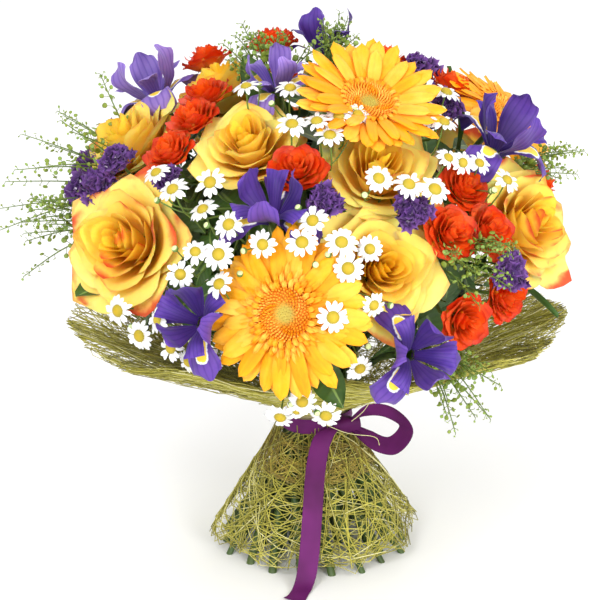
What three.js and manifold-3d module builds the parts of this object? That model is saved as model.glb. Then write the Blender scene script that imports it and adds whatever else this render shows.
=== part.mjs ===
// A mixed hand-tied bouquet that stands on its own spiral of cut stems.
// Large roses, gerberas, spray roses, irises, statice, chamomile and green pennycress
// make a dome above a sisal collar. A twine and a satin ribbon tie the waist, and a
// sisal skirt wraps the stems below it.
// Millimetres, +Z up. The origin is the middle of the overall box on the surface that the
// bouquet stands on. The viewer stands on the -Y side.

import * as THREE from "three";
import { mergeVertices } from "three/addons/utils/BufferGeometryUtils.js";
import Module from "manifold-3d";

const wasm = await Module();
wasm.setup();

// Driving dimensions. The blooms are placed round the middle stem, which stands at MIDDLE.
const MIDDLE = { x: 12.4, y: 9 };
const DOME = { radius: 190, rise: 152, height: 235 };
const WAIST = { bottom: 102, top: 115, low: 100, high: 120, coreRadius: 23.3 };
const RINGS = [
  { count: 1, waist: 0, floor: 0 },
  { count: 6, waist: 5.3, floor: 21 },
  { count: 12, waist: 10.6, floor: 40 },
  { count: 15, waist: 15.9, floor: 56 },
  { count: 24, waist: 20.6, floor: 70 },
];
const GAP = 0.35;
const GRID = 0.04;
const ROSE = { height: 48 };
const GERBERA = { radius: 54, height: 15 };
const SPRAY_ROSE = { height: 25 };
const IRIS = { height: 52, petal: 1 };
const STATICE = { radius: 14, height: 12 };
const CHAMOMILE = { radius: 11.8, disc: 4.6, thickness: 1 };
const POD = { length: 8, width: 5.2, stalk: 0.8 };
const LEAF = { width: 15, thickness: 0.9 };
const STEM = { rose: 2.5, gerbera: 2.5, iris: 2.5, sprays: 1.9, waist: 2, rising: 1.5, branch: 0.9 };
const COLLAR = { neck: 26.3, neckHeight: 113.6, rim: 187, rimHeight: 186, thickness: 1.6, flutes: 9 };
const SKIRT = { neck: 26.5, top: 111, flare: 98, hem: 79, hemHeight: 9, thickness: 1.4, flutes: 8 };
const TWINE = { inner: 23.7, outer: 25.2, low: 103, high: 115 };
const RIBBON = { width: 15, thickness: 0.9, band: 28.4, height: 104.5, gathered: 12 };

const { degToRad, lerp, clamp } = THREE.MathUtils;
const V = (x, y, z) => new THREE.Vector3(x, y, z);
const power = (v, exponent) => Math.sign(v) * Math.abs(v) ** exponent;
const UP = V(0, 0, 1);

// Seeded random numbers from 0 to 1, the same on every run.
function randomSource(seed) {
  let state = seed * 7919 + 13;
  const next = () => {
    state = (state * 16807) % 2147483647;
    return state / 2147483647;
  };
  next();
  next();
  return next;
}

// Turns a closed three.js geometry into a solid.
function solid(geometry, matrix) {
  const bare = geometry.clone();
  bare.deleteAttribute("normal");
  bare.deleteAttribute("uv");
  if (matrix) bare.applyMatrix4(matrix);
  const merged = mergeVertices(bare, 1e-3);
  const corners = merged.index.array;
  const kept = [];
  for (let i = 0; i < corners.length; i += 3) {
    const [a, b, c] = [corners[i], corners[i + 1], corners[i + 2]];
    if (a !== b && b !== c && c !== a) kept.push(a, b, c);
  }
  return new wasm.Manifold(
    new wasm.Mesh({
      numProp: 3,
      vertProperties: merged.attributes.position.array,
      triVerts: new Uint32Array(kept),
    }),
  );
}

// A curved sheet of even thickness. place(u, v) gives its middle surface, with u from -1
// to 1 across and v from 0 to 1 along. Both faces are split into triangles alike. With
// wrap the two u edges meet. grow makes it larger all round.
function sheet(place, across, along, thickness, { wrap = false, grow = 0, matrix = null } = {}) {
  const halfWidth = Math.max(place(-1, 0.5).distanceTo(place(1, 0.5)) / 2, 2);
  const length = Math.max(place(0, 0).distanceTo(place(0, 1)), 4);
  const extraU = wrap ? 0 : grow / halfWidth;
  const extraV = grow / length;
  const half = thickness / 2 + grow;
  const step = 1e-3;
  const columns = wrap ? across : across + 1;
  const points = [];
  for (const side of [1, -1]) {
    for (let j = 0; j <= along; j++) {
      for (let i = 0; i < columns; i++) {
        const u = lerp(-1 - extraU, 1 + extraU, i / across);
        const v = lerp(-extraV, 1 + extraV, j / along);
        const alongU = place(u + step, v).sub(place(u - step, v));
        const alongV = place(u, v + step).sub(place(u, v - step));
        const normal = alongU.cross(alongV).normalize();
        points.push(place(u, v).addScaledVector(normal, side * half));
      }
    }
  }
  const layer = columns * (along + 1);
  const at = (side, i, j) => side * layer + j * columns + (i % columns);
  const faces = [];
  const quad = (a, b, c, d) => faces.push(a, b, c, a, c, d);
  for (let j = 0; j < along; j++) {
    for (let i = 0; i < across; i++) {
      const flip = i < across / 2 && !wrap ? 1 : 0;
      const ring = [[i, j], [i + 1, j], [i + 1, j + 1], [i, j + 1]];
      const front = [0, 1, 2, 3].map((k) => ring[(k + flip) % 4]);
      quad(...front.map(([a, b]) => at(0, a, b)));
      const [p, q, r, s] = front.map(([a, b]) => at(1, a, b));
      faces.push(p, r, q, p, s, r);
    }
  }
  for (let i = 0; i < across; i++) {
    quad(at(0, i + 1, 0), at(0, i, 0), at(1, i, 0), at(1, i + 1, 0));
    quad(at(0, i, along), at(0, i + 1, along), at(1, i + 1, along), at(1, i, along));
  }
  if (!wrap) {
    for (let j = 0; j < along; j++) {
      quad(at(0, 0, j), at(0, 0, j + 1), at(1, 0, j + 1), at(1, 0, j));
      quad(at(0, across, j + 1), at(0, across, j), at(1, across, j), at(1, across, j + 1));
    }
  }
  const geometry = new THREE.BufferGeometry().setFromPoints(points);
  geometry.setIndex(faces);
  return solid(geometry, matrix);
}

// A round bar with few sides through the given points, with a radius at each of them.
function bar(points, radii, sides, grow = 0) {
  const count = points.length;
  const geometry = new THREE.CylinderGeometry(1, 1, count - 1, sides, count - 1);
  const spots = geometry.attributes.position;
  const frames = points.map((point, i) => {
    const ahead = points[Math.min(i + 1, count - 1)];
    const behind = points[Math.max(i - 1, 0)];
    const along = ahead.clone().sub(behind).normalize();
    const reference = Math.abs(along.x) < 0.8 ? V(1, 0, 0) : V(0, 1, 0);
    const side = reference.clone().cross(along).normalize();
    return { along, side, across: along.clone().cross(side) };
  });
  for (let k = 0; k < spots.count; k++) {
    const i = Math.round(spots.getY(k) + (count - 1) / 2);
    const { along, side, across } = frames[i];
    const end = i === 0 ? -grow : i === count - 1 ? grow : 0;
    const spot = points[i].clone().addScaledVector(along, end);
    spot.addScaledVector(across, spots.getX(k) * (radii[i] + grow));
    spot.addScaledVector(side, spots.getZ(k) * (radii[i] + grow));
    spots.setXYZ(k, spot.x, spot.y, spot.z);
  }
  return solid(geometry);
}

// A body turned round local z from a profile of [radius, height] points that starts and
// ends on the axis. shape(column, row) gives a turn in whole circles, a scale and a rise.
function turned(profile, columns, shape, { grow = 0, matrix = null } = {}) {
  const lathe = new THREE.LatheGeometry(profile.map(([r, z]) => new THREE.Vector2(r, z)), columns);
  const spots = lathe.attributes.position;
  const middle = (profile[0][1] + profile[profile.length - 1][1]) / 2;
  for (let k = 0; k < spots.count; k++) {
    const row = k % profile.length;
    const column = Math.floor(k / profile.length) % columns;
    const [r, z] = profile[row];
    const { turn = column / columns, scale = 1, rise = 0 } = shape(column, row);
    const radius = r === 0 ? 0 : r * scale + grow;
    const angle = turn * 2 * Math.PI;
    const up = z + (r === 0 ? 0 : rise) + Math.sign(z - middle) * grow;
    spots.setXYZ(k, radius * Math.cos(angle), radius * Math.sin(angle), up);
  }
  return solid(lathe, matrix);
}

const join = (parts) => wasm.Manifold.union(parts);
const plain = () => ({});

// Outward direction of the dome at a place given in degrees.
function outward(azimuth, elevation) {
  const [a, b] = [degToRad(azimuth), degToRad(elevation)];
  const { radius, rise } = DOME;
  return V(
    (Math.cos(b) * Math.sin(a)) / radius,
    (-Math.cos(b) * Math.cos(a)) / radius,
    Math.sin(b) / rise,
  ).normalize();
}

// A point of the dome, where reach 1 is its outer surface.
function onDome(azimuth, elevation, reach = 1) {
  const [a, b] = [degToRad(azimuth), degToRad(elevation)];
  const { radius, rise, height } = DOME;
  return V(
    reach * radius * Math.cos(b) * Math.sin(a),
    -reach * radius * Math.cos(b) * Math.cos(a),
    height + reach * rise * Math.sin(b),
  );
}

// The frame of a bloom: it faces outward, turned sideways by turn, lifted by nod and raised
// towards the sky by lean, and its base lies sink below the dome. roll turns it on its axis.
function bloomFrame({ az, el, turn = 0, nod = 0, lean = 0, roll = 0, reach = 1 }, sink) {
  const facing = outward(az + turn, el + nod).lerp(UP, lean).normalize();
  const base = onDome(az, el, reach).addScaledVector(facing, -sink);
  const right = UP.clone().cross(facing).normalize();
  const top = facing.clone().cross(right);
  const matrix = new THREE.Matrix4().makeBasis(right, top, facing);
  matrix.multiply(new THREE.Matrix4().makeRotationZ(degToRad(roll)));
  matrix.setPosition(base);
  return { matrix, base, facing };
}

// Petals round a bloom, each between an inner and an outer side edge, so that every petal
// overlaps the next. parts gives the columns of one petal as [turn, scale, rise], and
// depth says how far a row of the profile follows them. shift turns the layer.
function petals(count, parts, depth, shift = 0) {
  return (column, row) => {
    const size = parts.length;
    const own = (column + shift) % size;
    const [turn] = parts[column % size];
    const [, scale, rise] = parts[own];
    const k = depth[row] ?? 0;
    return { turn: (Math.floor(column / size) + turn) / count, scale: 1 + scale * k, rise: rise * k };
  };
}

// A large rose: an open outer layer of petals, an upright one and a wound heart.
function rose({ size = 1 }, settings) {
  const outline = [[0, 3], [25, 3], [47, 29], [45, 31.5], [27, 14], [31, 41], [28.5, 42.5], [18, 26], [14, 47], [0, 41]];
  const parts = [[0.07, -0.09, -4], [0.5, 0, 1.5], [0.93, 0.07, -3]];
  const outer = petals(5, parts, [0, 0, 1, 1]);
  const inner = petals(5, parts, [0, 0, 0, 0, 0.3, 1, 1], 1);
  const heart = petals(5, parts, [0, 0, 0, 0, 0, 0, 0, 0.5, 1.8], 2);
  const shape = (column, row) => (row < 4 ? outer : row < 7 ? inner : heart)(column, row);
  return [turned(outline.map(([r, z]) => [r * size, z * size]), 15, shape, settings)];
}

// A gerbera: a layer of long rays, a shorter one above it and a raised disc. Each ray
// takes three columns: the valley before it, its left shoulder and its right one. cup is
// how far the rays rise towards their tips.
function gerbera({ size = 1, cup = 0 }, settings) {
  const rays = 11;
  const r = GERBERA.radius * size;
  const rows = [
    [0, 1],
    [r, 9 + cup],
    [r * 1.004, 10.2 + cup],
    [r * 0.72, 10 + cup * 0.6],
    [r * 0.715, 12.4 + cup * 0.6],
    [r * 0.39, 15.5],
    [0, 13.5],
  ];
  const valley = [0, 0.46, 0.462, 0.6, 0.6, 1];
  const drop = [0, -3.6, -3.6, -2.4, -2.4, 0];
  const shape = (column, row) => {
    const ray = Math.floor(column / 3);
    const part = column % 3;
    const turn = (ray + [0.5, 0.74, 1.26][part] - 0.5) / rays;
    const wave = row > 0 && row < 3 ? 1.5 * Math.sin(ray * 2.1) : 0;
    if (part === 0) return { turn, scale: valley[row], rise: drop[row] };
    return { turn, scale: part === 1 && row < 5 ? 0.95 : 1, rise: wave };
  };
  return [turned(rows, rays * 3, shape, settings)];
}

// A small cupped rose with ruffled petals.
function sprayRose({ size = 1 }, settings) {
  const outline = [[0, 1], [10, 1], [23, 17], [21.2, 18.8], [12.5, 9], [14, 22], [7, 24.5], [0, 19]];
  const parts = [[0.1, -0.12, -1.5], [0.88, 0.08, 1.5]];
  const outer = petals(4, parts, [0, 0, 1, 1, 0.6]);
  const inner = petals(4, parts, [0, 0, 0, 0, 0, 1.2, 1.8], 1);
  const shape = (column, row) => (row < 5 ? outer : inner)(column, row);
  return [turned(outline.map(([x, z]) => [x * size, z * size]), 8, shape, settings)];
}

// Plain outer forms of the blooms, which later neighbours keep out of.
const envelope = (profile, columns) => ({ size = 1 }, settings) => [
  turned(profile.map(([r, z]) => [r * size, z * size]), columns, plain, settings),
];
const SHIELDS = {
  rose: envelope([[0, 0], [12, 0], [38, 10], [53.5, 31], [22, 51], [0, 51]], 12),
  gerbera: (item, settings) => {
    const rise = item.cup ?? 0;
    return envelope([[0, 0], [12, 1], [57, 6], [57, 14 + rise], [22, 19], [0, 19]], 12)(item, settings);
  },
  spray_rose: envelope([[0, 0], [13, 1], [26, 15], [24, 21], [10, 27], [0, 27]], 7),
  statice: envelope([[0, 1], [13, 3], [16.5, 10], [11, 19], [0, 22]], 7),
  chamomile: envelope([[0, -2], [13, -1.6], [13, 1], [3, 6], [0, 6]], 7),
};

// An iris: three arched falls, three upright standards and a throat.
function iris({ size = 1 }, settings) {
  const made = [];
  const s = size;
  for (let i = 0; i < 3; i++) {
    const turn = (i / 3) * 2 * Math.PI + 0.5;
    const [c, n] = [Math.cos(turn), Math.sin(turn)];
    const fall = (u, v) => {
      const r = (3.5 + 36.5 * v) * s;
      const width = (3.2 + 30 * v * v * (1.22 - v)) * s;
      const z = (12 + 52 * v - 52 * v * v - 2.6 * u * u * v) * s;
      const y = width * u;
      return V(r * c - y * n, r * n + y * c, z);
    };
    made.push(sheet(fall, 2, 2, IRIS.petal, settings));
    const [c2, n2] = [Math.cos(turn + Math.PI / 3), Math.sin(turn + Math.PI / 3)];
    const standard = (u, v) => {
      const r = (4 + 16 * Math.sin(v * 2.1) - 1.2 * u * u) * s;
      const width = (2.2 + 9.4 * Math.sin(clamp(v, 0, 1.05) * 2.5)) * s;
      const y = width * u;
      return V(r * c2 - y * n2, r * n2 + y * c2, (17 + 38 * v) * s);
    };
    made.push(sheet(standard, 1, 2, IRIS.petal, settings));
  }
  const throat = [[0, 0], [4.5, 1], [8.5, 16], [8, 24], [0, 25]];
  made.push(turned(throat.map(([r, z]) => [r * s, z * s]), 3, (c) => ({ turn: c / 3 + 0.329, scale: 1.6 }), settings));
  return made;
}

// A statice head: a dome of ruffled calyxes, raised in turn.
function staticeHead({ size = 1 }, { matrix = null }) {
  const geometry = new THREE.SphereGeometry(1, 8, 5);
  geometry.rotateX(Math.PI / 2);
  const spots = geometry.attributes.position;
  for (let k = 0; k < spots.count; k++) {
    const [x, y, z] = [spots.getX(k), spots.getY(k), spots.getZ(k)];
    const row = Math.round((Math.acos(clamp(z, -1, 1)) / Math.PI) * 5);
    const column = Math.round((Math.atan2(y, x) / (2 * Math.PI)) * 8 + 16);
    const raised = row === 0 || row === 5 ? 1 : (row + column) % 2 === 0 ? 1.16 : 0.78;
    const wide = STATICE.radius * size * (row === 4 ? 1 : raised);
    const tall = row >= 4 ? -0.45 : z * raised * (z < 0 ? 0.62 : 1);
    spots.setXYZ(k, x * wide, y * wide, STATICE.height * (size * tall + 0.6));
  }
  return [solid(geometry, matrix)];
}

// A chamomile blossom: flat white rays with a raised disc.
function chamomile({ size = 1 }, { matrix = null }) {
  const rays = 6;
  const geometry = new THREE.CylinderGeometry(1, 1, 1, rays * 2, 1);
  geometry.rotateX(Math.PI / 2);
  const spots = geometry.attributes.position;
  for (let k = 0; k < spots.count; k++) {
    const [x, y, z] = [spots.getX(k), spots.getY(k), spots.getZ(k)];
    const r = Math.hypot(x, y);
    if (r < 1e-6) {
      spots.setXYZ(k, 0, 0, z > 0 ? 4.6 : -CHAMOMILE.thickness / 2);
      continue;
    }
    const column = Math.round((Math.atan2(y, x) / (2 * Math.PI)) * rays * 2 + rays * 4);
    const reach = (column % 2 === 0 ? CHAMOMILE.radius : CHAMOMILE.disc * 1.25) * size;
    spots.setXYZ(k, (x / r) * reach, (y / r) * reach, (Math.sign(z) * CHAMOMILE.thickness) / 2);
  }
  return [solid(geometry, matrix)];
}

// A sprig of pennycress from one point to another: a thin stalk that swells into flat
// seed pods, which stand out from it in a spiral.
function sprig(from, to, pods, start, { grow = 0 } = {}) {
  const along = to.clone().sub(from).normalize();
  const side = along.clone().cross(Math.abs(along.z) < 0.9 ? UP : V(1, 0, 0)).normalize();
  const other = along.clone().cross(side);
  const points = [from];
  const radii = [POD.stalk];
  for (let i = 0; i < pods; i++) {
    const last = i === pods - 1;
    const middle = from.clone().lerp(to, start + ((1 - start) * (i + 0.6)) / pods);
    const angle = i * 2.4 + pods;
    const out = last ? 0 : POD.width * 0.75;
    const centre = middle.clone().addScaledVector(side, out * Math.cos(angle));
    centre.addScaledVector(other, out * Math.sin(angle));
    points.push(middle.clone().addScaledVector(along, -POD.length * 0.55), centre);
    radii.push(POD.stalk, POD.width / 2);
  }
  points.push(to);
  radii.push(0.4);
  return bar(points, radii, 3, grow);
}

// A knuckle where branches part, eight-sided and long along facing.
function knuckle(centre, facing, grow) {
  const turn = new THREE.Quaternion().setFromUnitVectors(UP, facing);
  const wide = 4.6 + grow * 1.8;
  const place = new THREE.Matrix4().compose(centre, turn, V(wide, wide, 6 + grow * 1.8));
  return solid(new THREE.OctahedronGeometry(1), place);
}

// A leaf that arches from its base towards a tip, with a folded midrib and waved edges.
function leafBlade(base, tip, facing, size, settings) {
  const along = tip.clone().sub(base);
  const side = along.clone().cross(facing).normalize();
  const lift = side.clone().cross(along).normalize();
  const width = LEAF.width * size;
  const place = (u, v) => {
    const wide = Math.max(1.2, width * Math.sin(clamp(1.7 * v - 0.72, 0, 0.98) * Math.PI) ** 0.8);
    const point = base.clone().addScaledVector(along, v);
    point.addScaledVector(lift, 9 * Math.sin(Math.PI * v) + 3 * u * u + 1.2 * u * Math.sin(9 * v));
    return point.addScaledVector(side, wide * u);
  };
  return sheet(place, 2, 3, LEAF.thickness, settings);
}

// Large blooms. az and el are degrees round the dome, where az 0 faces the viewer.
const GERBERAS = [
  { name: "gerbera_front_low", az: -6, el: 7, turn: -14, lean: 0.12, reach: 0.991, roll: 4, size: 1.1 },
  { name: "gerbera_top_right", az: 24, el: 62, nod: -8, lean: 0, reach: 0.99, roll: 12, size: 1.02, cup: 13 },
  { name: "gerbera_right_high", az: 101, el: 40, turn: -32, lean: 0.05, reach: 0.97, roll: 30, size: 0.92 },
  { name: "gerbera_back_left", az: -128, el: 12, lean: 0.1, reach: 1.0, roll: 50 },
];
const ROSES = [
  { name: "rose_front_left", az: -52, el: 18, turn: 14, lean: 0.05, reach: 1.04, roll: 20, size: 1.02 },
  { name: "rose_front_right", az: 17, el: 19, turn: 4, lean: 0.08, reach: 0.99, roll: 200, size: 0.93 },
  { name: "rose_centre_right", az: 22, el: 48, lean: 0.05, reach: 0.99, roll: 100, size: 0.9 },
  { name: "rose_centre_left", az: -29, el: 55, lean: 0, reach: 1.0, roll: 300, size: 0.81 },
  { name: "rose_right", az: 64, el: 20, turn: -12, lean: 0.08, reach: 1.04, roll: 150, size: 0.95 },
  { name: "rose_left_high", az: -87, el: 40, turn: 14, lean: 0, reach: 1.03, roll: 40, size: 0.86 },
  { name: "rose_top", az: -110, el: 65, lean: 0, reach: 0.99, roll: 75, size: 0.8 },
  { name: "rose_back_right", az: 128, el: 14, lean: 0.1, reach: 0.99, roll: 10, size: 1.0 },
  { name: "rose_back_centre", az: -174, el: 12, lean: 0.1, reach: 1.0, roll: 270, size: 1.02 },
  { name: "rose_back_left", az: -142, el: 40, lean: 0, reach: 0.98, roll: 120, size: 0.92 },
  { name: "rose_back_high", az: 166, el: 47, lean: 0, reach: 0.99, roll: 200, size: 0.9 },
  { name: "rose_left_low", az: -93, el: 5, lean: 0.15, reach: 0.93, roll: 330, size: 0.86 },
];
const IRISES = [
  { name: "iris_left_top", az: -113, el: 47, lean: 0.25, reach: 1.03, roll: 0, size: 1 },
  { name: "iris_centre", az: -11, el: 34, lean: 0.35, reach: 1.02, roll: 60, size: 0.95 },
  { name: "iris_left_low", az: -25, el: 4, lean: 0.3, reach: 1.04, roll: 20, size: 0.95 },
  { name: "iris_right_high", az: 65, el: 43, lean: 0.35, reach: 1.06, roll: 35, size: 1.05 },
  { name: "iris_right_low", az: 20, el: -4, lean: 0.3, reach: 1.05, roll: 80, size: 0.95 },
  { name: "iris_top_left", az: -36, el: 74, lean: 0, reach: 0.99, roll: 15, size: 0.8 },
  { name: "iris_top", az: 173, el: 72, lean: 0, reach: 1.02, roll: 100, size: 0.9 },
  { name: "iris_back", az: 150, el: 24, lean: 0.3, reach: 1.04, roll: 45, size: 0.95 },
];

// Branched sprays: each row of heads is azimuth, elevation and size.
const SPRAY_ROSES = [
  { name: "spray_rose_left", reach: 1.0, heads: [[-75, 63, 0.8], [-60, 56, 0.8], [-54, 45, 0.8]] },
  { name: "spray_rose_middle", reach: 1.02, heads: [[-6, 46, 0.82]] },
  { name: "spray_rose_top_left", reach: 1.08, heads: [[-130, 57, 0.8], [-148, 72, 0.8]] },
  { name: "spray_rose_top_right", reach: 1.02, heads: [[136, 66, 0.8], [107, 55, 0.8]] },
  { name: "spray_rose_right", reach: 1.0, heads: [[45, 36, 0.82], [35, 25, 0.88], [47, 23, 0.85]] },
  { name: "spray_rose_right_low", reach: 0.99, heads: [[36, -1, 0.85], [49, 3, 0.85]] },
  { name: "spray_rose_back", reach: 0.99, heads: [[-166, 47, 0.8], [-110, 16, 0.85]] },
  { name: "spray_rose_back_right", reach: 0.99, heads: [[102, 5, 0.85], [97, 20, 0.8]] },
];
const STATICES = [
  { name: "statice_left", reach: 1.0, heads: [[-82, 22, 1.1], [-96, 24, 1], [-72, 27, 1]] },
  { name: "statice_left_inner", reach: 1.02, heads: [[-68, 36, 0.95], [-43, 37, 0.75]] },
  { name: "statice_middle", reach: 1.02, heads: [[2, 36, 0.85], [24, 32, 0.95]] },
  { name: "statice_top_right", reach: 1.0, heads: [[121, 61, 1], [66, 57, 0.85]] },
  { name: "statice_right_low", reach: 1.03, heads: [[46, 11, 1]] },
  { name: "statice_back", reach: 1.03, heads: [[-158, 28, 1], [150, 4, 1.05], [-116, 27, 0.95]] },
];
const CHAMOMILES = [
  { name: "chamomile_left", reach: 1.09, heads: [[-35, 34, 1], [-26, 37, 1], [-19, 28, 1], [-20, 21, 1]] },
  { name: "chamomile_top", reach: 1.08, heads: [[-12, 65, 0.95], [-8, 54, 1], [4, 51, 1]] },
  { name: "chamomile_middle", reach: 1.1, heads: [[-3, 25, 1], [5, 25, 1], [6, 19, 1], [3, 8, 1]] },
  { name: "chamomile_right", reach: 1.1, heads: [[15, 39, 0.95], [22, 37, 1], [49, 33, 0.9]] },
  { name: "chamomile_top_right", reach: 1.07, heads: [[59, 58, 1], [44, 51, 0.95]] },
  { name: "chamomile_left_low", reach: 1.03, heads: [[-45, 1, 1], [-39, -4, 1], [-31, -5, 0.95]] },
  { name: "chamomile_low", reach: 1.03, heads: [[-3, -17, 0.95], [2, -22, 1], [-8, -23, 0.95]] },
  { name: "chamomile_back", reach: 1.08, heads: [[178, 30, 1], [-178, 20, 1], [-152, -2, 1], [140, 36, 1]] },
];
const PENNYCRESSES = [
  { name: "pennycress_left", az: -90, el: 26, lean: 0.1, reach: 1.26, spread: 15, sprigs: 3 },
  { name: "pennycress_left_low", az: -83, el: 9, lean: 0.05, reach: 1.16, spread: 10, sprigs: 2 },
  { name: "pennycress_top", az: -96, el: 76, lean: 0, reach: 1.16, spread: 16, sprigs: 3 },
  { name: "pennycress_top_right", az: 160, el: 76, lean: 0, reach: 1.15, spread: 12, sprigs: 2 },
  { name: "pennycress_right", az: 84, el: 27, lean: 0.05, reach: 1.16, spread: 9, sprigs: 2 },
  { name: "pennycress_right_front", az: 38, el: 12, lean: 0.3, reach: 1.15, spread: 9, sprigs: 2 },
  { name: "pennycress_right_low", az: 34, el: -14, lean: -0.3, reach: 1.14, spread: 7, sprigs: 2 },
];
const LEAVES = [
  { az: -100, el: 74, turn: 10, size: 0.9 },
  { az: -6, el: 56, turn: 200, size: 0.8 },
  { az: 4, el: -16, turn: -60, size: 0.8 },
  { az: 112, el: 53, turn: 40, size: 0.9 },
  { az: -62, el: 4, turn: -80, size: 1 },
  { az: 62, el: -4, turn: -60, size: 1 },
  { az: -116, el: -4, turn: -80, size: 1 },
];

const COLORS = {
  rose: 0xf6c845,
  gerbera: 0xfdb22b,
  spray_rose: 0xe2431e,
  iris: 0x4a2f9e,
  statice: 0x5b2a86,
  chamomile: 0xf7f5ee,
  pennycress: 0x5d7a34,
  stems: 0x55752f,
  collar: 0xa9a655,
  skirt: 0xa3a552,
  ribbon: 0x4c1673,
  twine: 0xb59f6b,
};

// The middle of a spray's heads, where its branches part.
function sprayCentre(heads) {
  const sum = V(0, 0, 0);
  for (const [az, el] of heads) sum.add(onDome(az, el, 0.6));
  return sum.multiplyScalar(1 / heads.length);
}

// Stems to draw: each ends at base, and arrives there along facing.
const stems = [];
const nodes = [];

function addBloom(kind, item, sink, make, { stalk, cup, cupDepth, seat = 0 }) {
  const { matrix, base, facing } = bloomFrame(item, sink);
  stems.push({ base, facing, radius: stalk, cup: cup * (item.size ?? 1), cupDepth, seat, rank: item.el });
  nodes.push({
    name: item.name,
    color: COLORS[kind],
    fixed: () => [],
    soft: () => make(item, { matrix }),
    shield: () => (SHIELDS[kind] ?? make)(item, { grow: GAP, matrix }),
  });
}

for (const item of GERBERAS) {
  addBloom("gerbera", item, GERBERA.height * 0.5, gerbera, { stalk: STEM.gerbera, cup: 6, cupDepth: 5, seat: 1 });
}
for (const item of ROSES) {
  const sink = ROSE.height * (item.size ?? 1);
  addBloom("rose", item, sink, rose, { stalk: STEM.rose, cup: 7, cupDepth: 5, seat: 3 * (item.size ?? 1) });
}
for (const item of IRISES) {
  addBloom("iris", item, IRIS.height * 0.62 * item.size, iris, { stalk: STEM.iris, cup: 3.2, cupDepth: 4, seat: 0 });
}

// A spray: branches part from a knuckle round the main stem's end and rise to the heads.
// Each branch takes the first route that stays clear of what is already placed.
function addSpray(kind, item, sink, make) {
  const centre = sprayCentre(item.heads);
  const axis = V(0, 0, 150);
  const facing = centre.clone().sub(axis).normalize();
  stems.push({ base: centre, facing, radius: STEM.sprays, rank: item.heads[0][1] });
  const heads = item.heads.map(([az, el, size], i) => {
    const lean = kind === "chamomile" ? 0.12 : 0.05;
    const frame = bloomFrame({ az, el, lean, roll: i * 47, reach: item.reach }, sink * size);
    return { ...frame, az, el, size };
  });
  nodes.push({
    name: item.name,
    color: COLORS[kind],
    hub: centre.clone().addScaledVector(facing, 6),
    facing,
    heads,
    sinkIn: { spray_rose: 3, statice: 4.5, chamomile: 0.6 }[kind],
    branch: kind === "spray_rose" ? STEM.branch * 1.6 : kind === "statice" ? STEM.branch * 1.3 : STEM.branch,
    soft: () => heads.flatMap((head) => make(head, { matrix: head.matrix })),
    shield: () => heads.flatMap((head) => SHIELDS[kind](head, { grow: GAP, matrix: head.matrix })),
  });
}

for (const item of SPRAY_ROSES) addSpray("spray_rose", item, SPRAY_ROSE.height, sprayRose);
for (const item of STATICES) addSpray("statice", item, STATICE.height, staticeHead);
for (const item of CHAMOMILES) addSpray("chamomile", item, 2, chamomile);

// Pennycress: a main stalk with side sprigs, all set with pods.
for (const [index, item] of PENNYCRESSES.entries()) {
  const random = randomSource(index + 5);
  const start = onDome(item.az, item.el, 0.62);
  const facing = outward(item.az, item.el).lerp(UP, item.lean).normalize();
  const end = onDome(item.az, item.el, item.reach).add(V(0, 0, item.lean * 60));
  stems.push({ base: start, facing, radius: STEM.sprays, rank: item.el });
  const hub = start.clone().addScaledVector(facing, 6);
  const lines = [{ from: hub, to: end, pods: 4, start: 0.5 }];
  for (let i = 0; i < item.sprigs; i++) {
    const turn = (i - (item.sprigs - 1) / 2) * item.spread + 4;
    const rise = (i % 2 === 0 ? 1 : -1) * item.spread * 0.55;
    const root = hub.clone().lerp(end, 0.36 + 0.06 * i);
    const to = onDome(item.az + turn, item.el + rise, item.reach - 0.03 - 0.05 * random());
    root.addScaledVector(to.clone().sub(root).normalize(), 0.3);
    lines.push({ from: root, to, pods: 3, start: 0.3 });
  }
  nodes.push({
    name: item.name,
    color: COLORS.pennycress,
    fixed: (grow) => [
      ...lines.map((line) => sprig(line.from, line.to, line.pods, line.start, { grow })),
      knuckle(hub, facing, grow),
    ],
    soft: () => [],
    shield: () => [],
  });
}

// Places in the waist: the highest blooms in the middle, the lowest in the outer ring. All
// stems lean the same way round, so that each line just passes its ring and none cross.
stems.sort((a, b) => b.rank - a.rank);
let next = 0;
for (const ring of RINGS) {
  const own = stems.slice(next, next + ring.count);
  next += ring.count;
  for (const item of own) {
    const { x, y } = item.base;
    const passing = Math.acos(Math.min(1, ring.waist / Math.hypot(x, y)));
    item.wanted = Math.atan2(x, -y) + passing;
  }
  own.sort((a, b) => a.wanted - b.wanted);
  const share = (2 * Math.PI) / own.length;
  const offset = own.reduce((sum, item, i) => sum + item.wanted - i * share, 0) / own.length;
  for (const [i, item] of own.entries()) {
    const turn = offset + i * share;
    const spread = ring.floor * (1 + 0.03 * Math.sin(i * 2.7));
    const away = turn + (ring.floor ? Math.acos(ring.waist / ring.floor) : 0);
    item.tied = V(ring.waist * Math.sin(turn), -ring.waist * Math.cos(turn), WAIST.bottom);
    item.waist = item.tied.clone().setZ(WAIST.top);
    item.foot = V(spread * Math.sin(away), -spread * Math.cos(away), 0);
    item.knee = item.base.clone().addScaledVector(item.facing, -34).lerp(item.waist, 0.12);
  }
}

// Leaves that grow from the nearest stem and end in the gaps between the blooms.
const leafParts = LEAVES.map(({ az, el, turn, size }) => {
  const facing = outward(az, el);
  const under = onDome(az, el, 0.66);
  const host = stems.reduce((a, b) => (a.knee.distanceTo(under) < b.knee.distanceTo(under) ? a : b));
  const right = UP.clone().cross(facing).normalize();
  const top = facing.clone().cross(right);
  const bend = right.multiplyScalar(Math.cos(degToRad(turn))).addScaledVector(top, Math.sin(degToRad(turn)));
  const tip = onDome(az, el, 1.02).addScaledVector(bend, 14 * size);
  return [host.knee.clone(), tip, facing, size];
});

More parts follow.
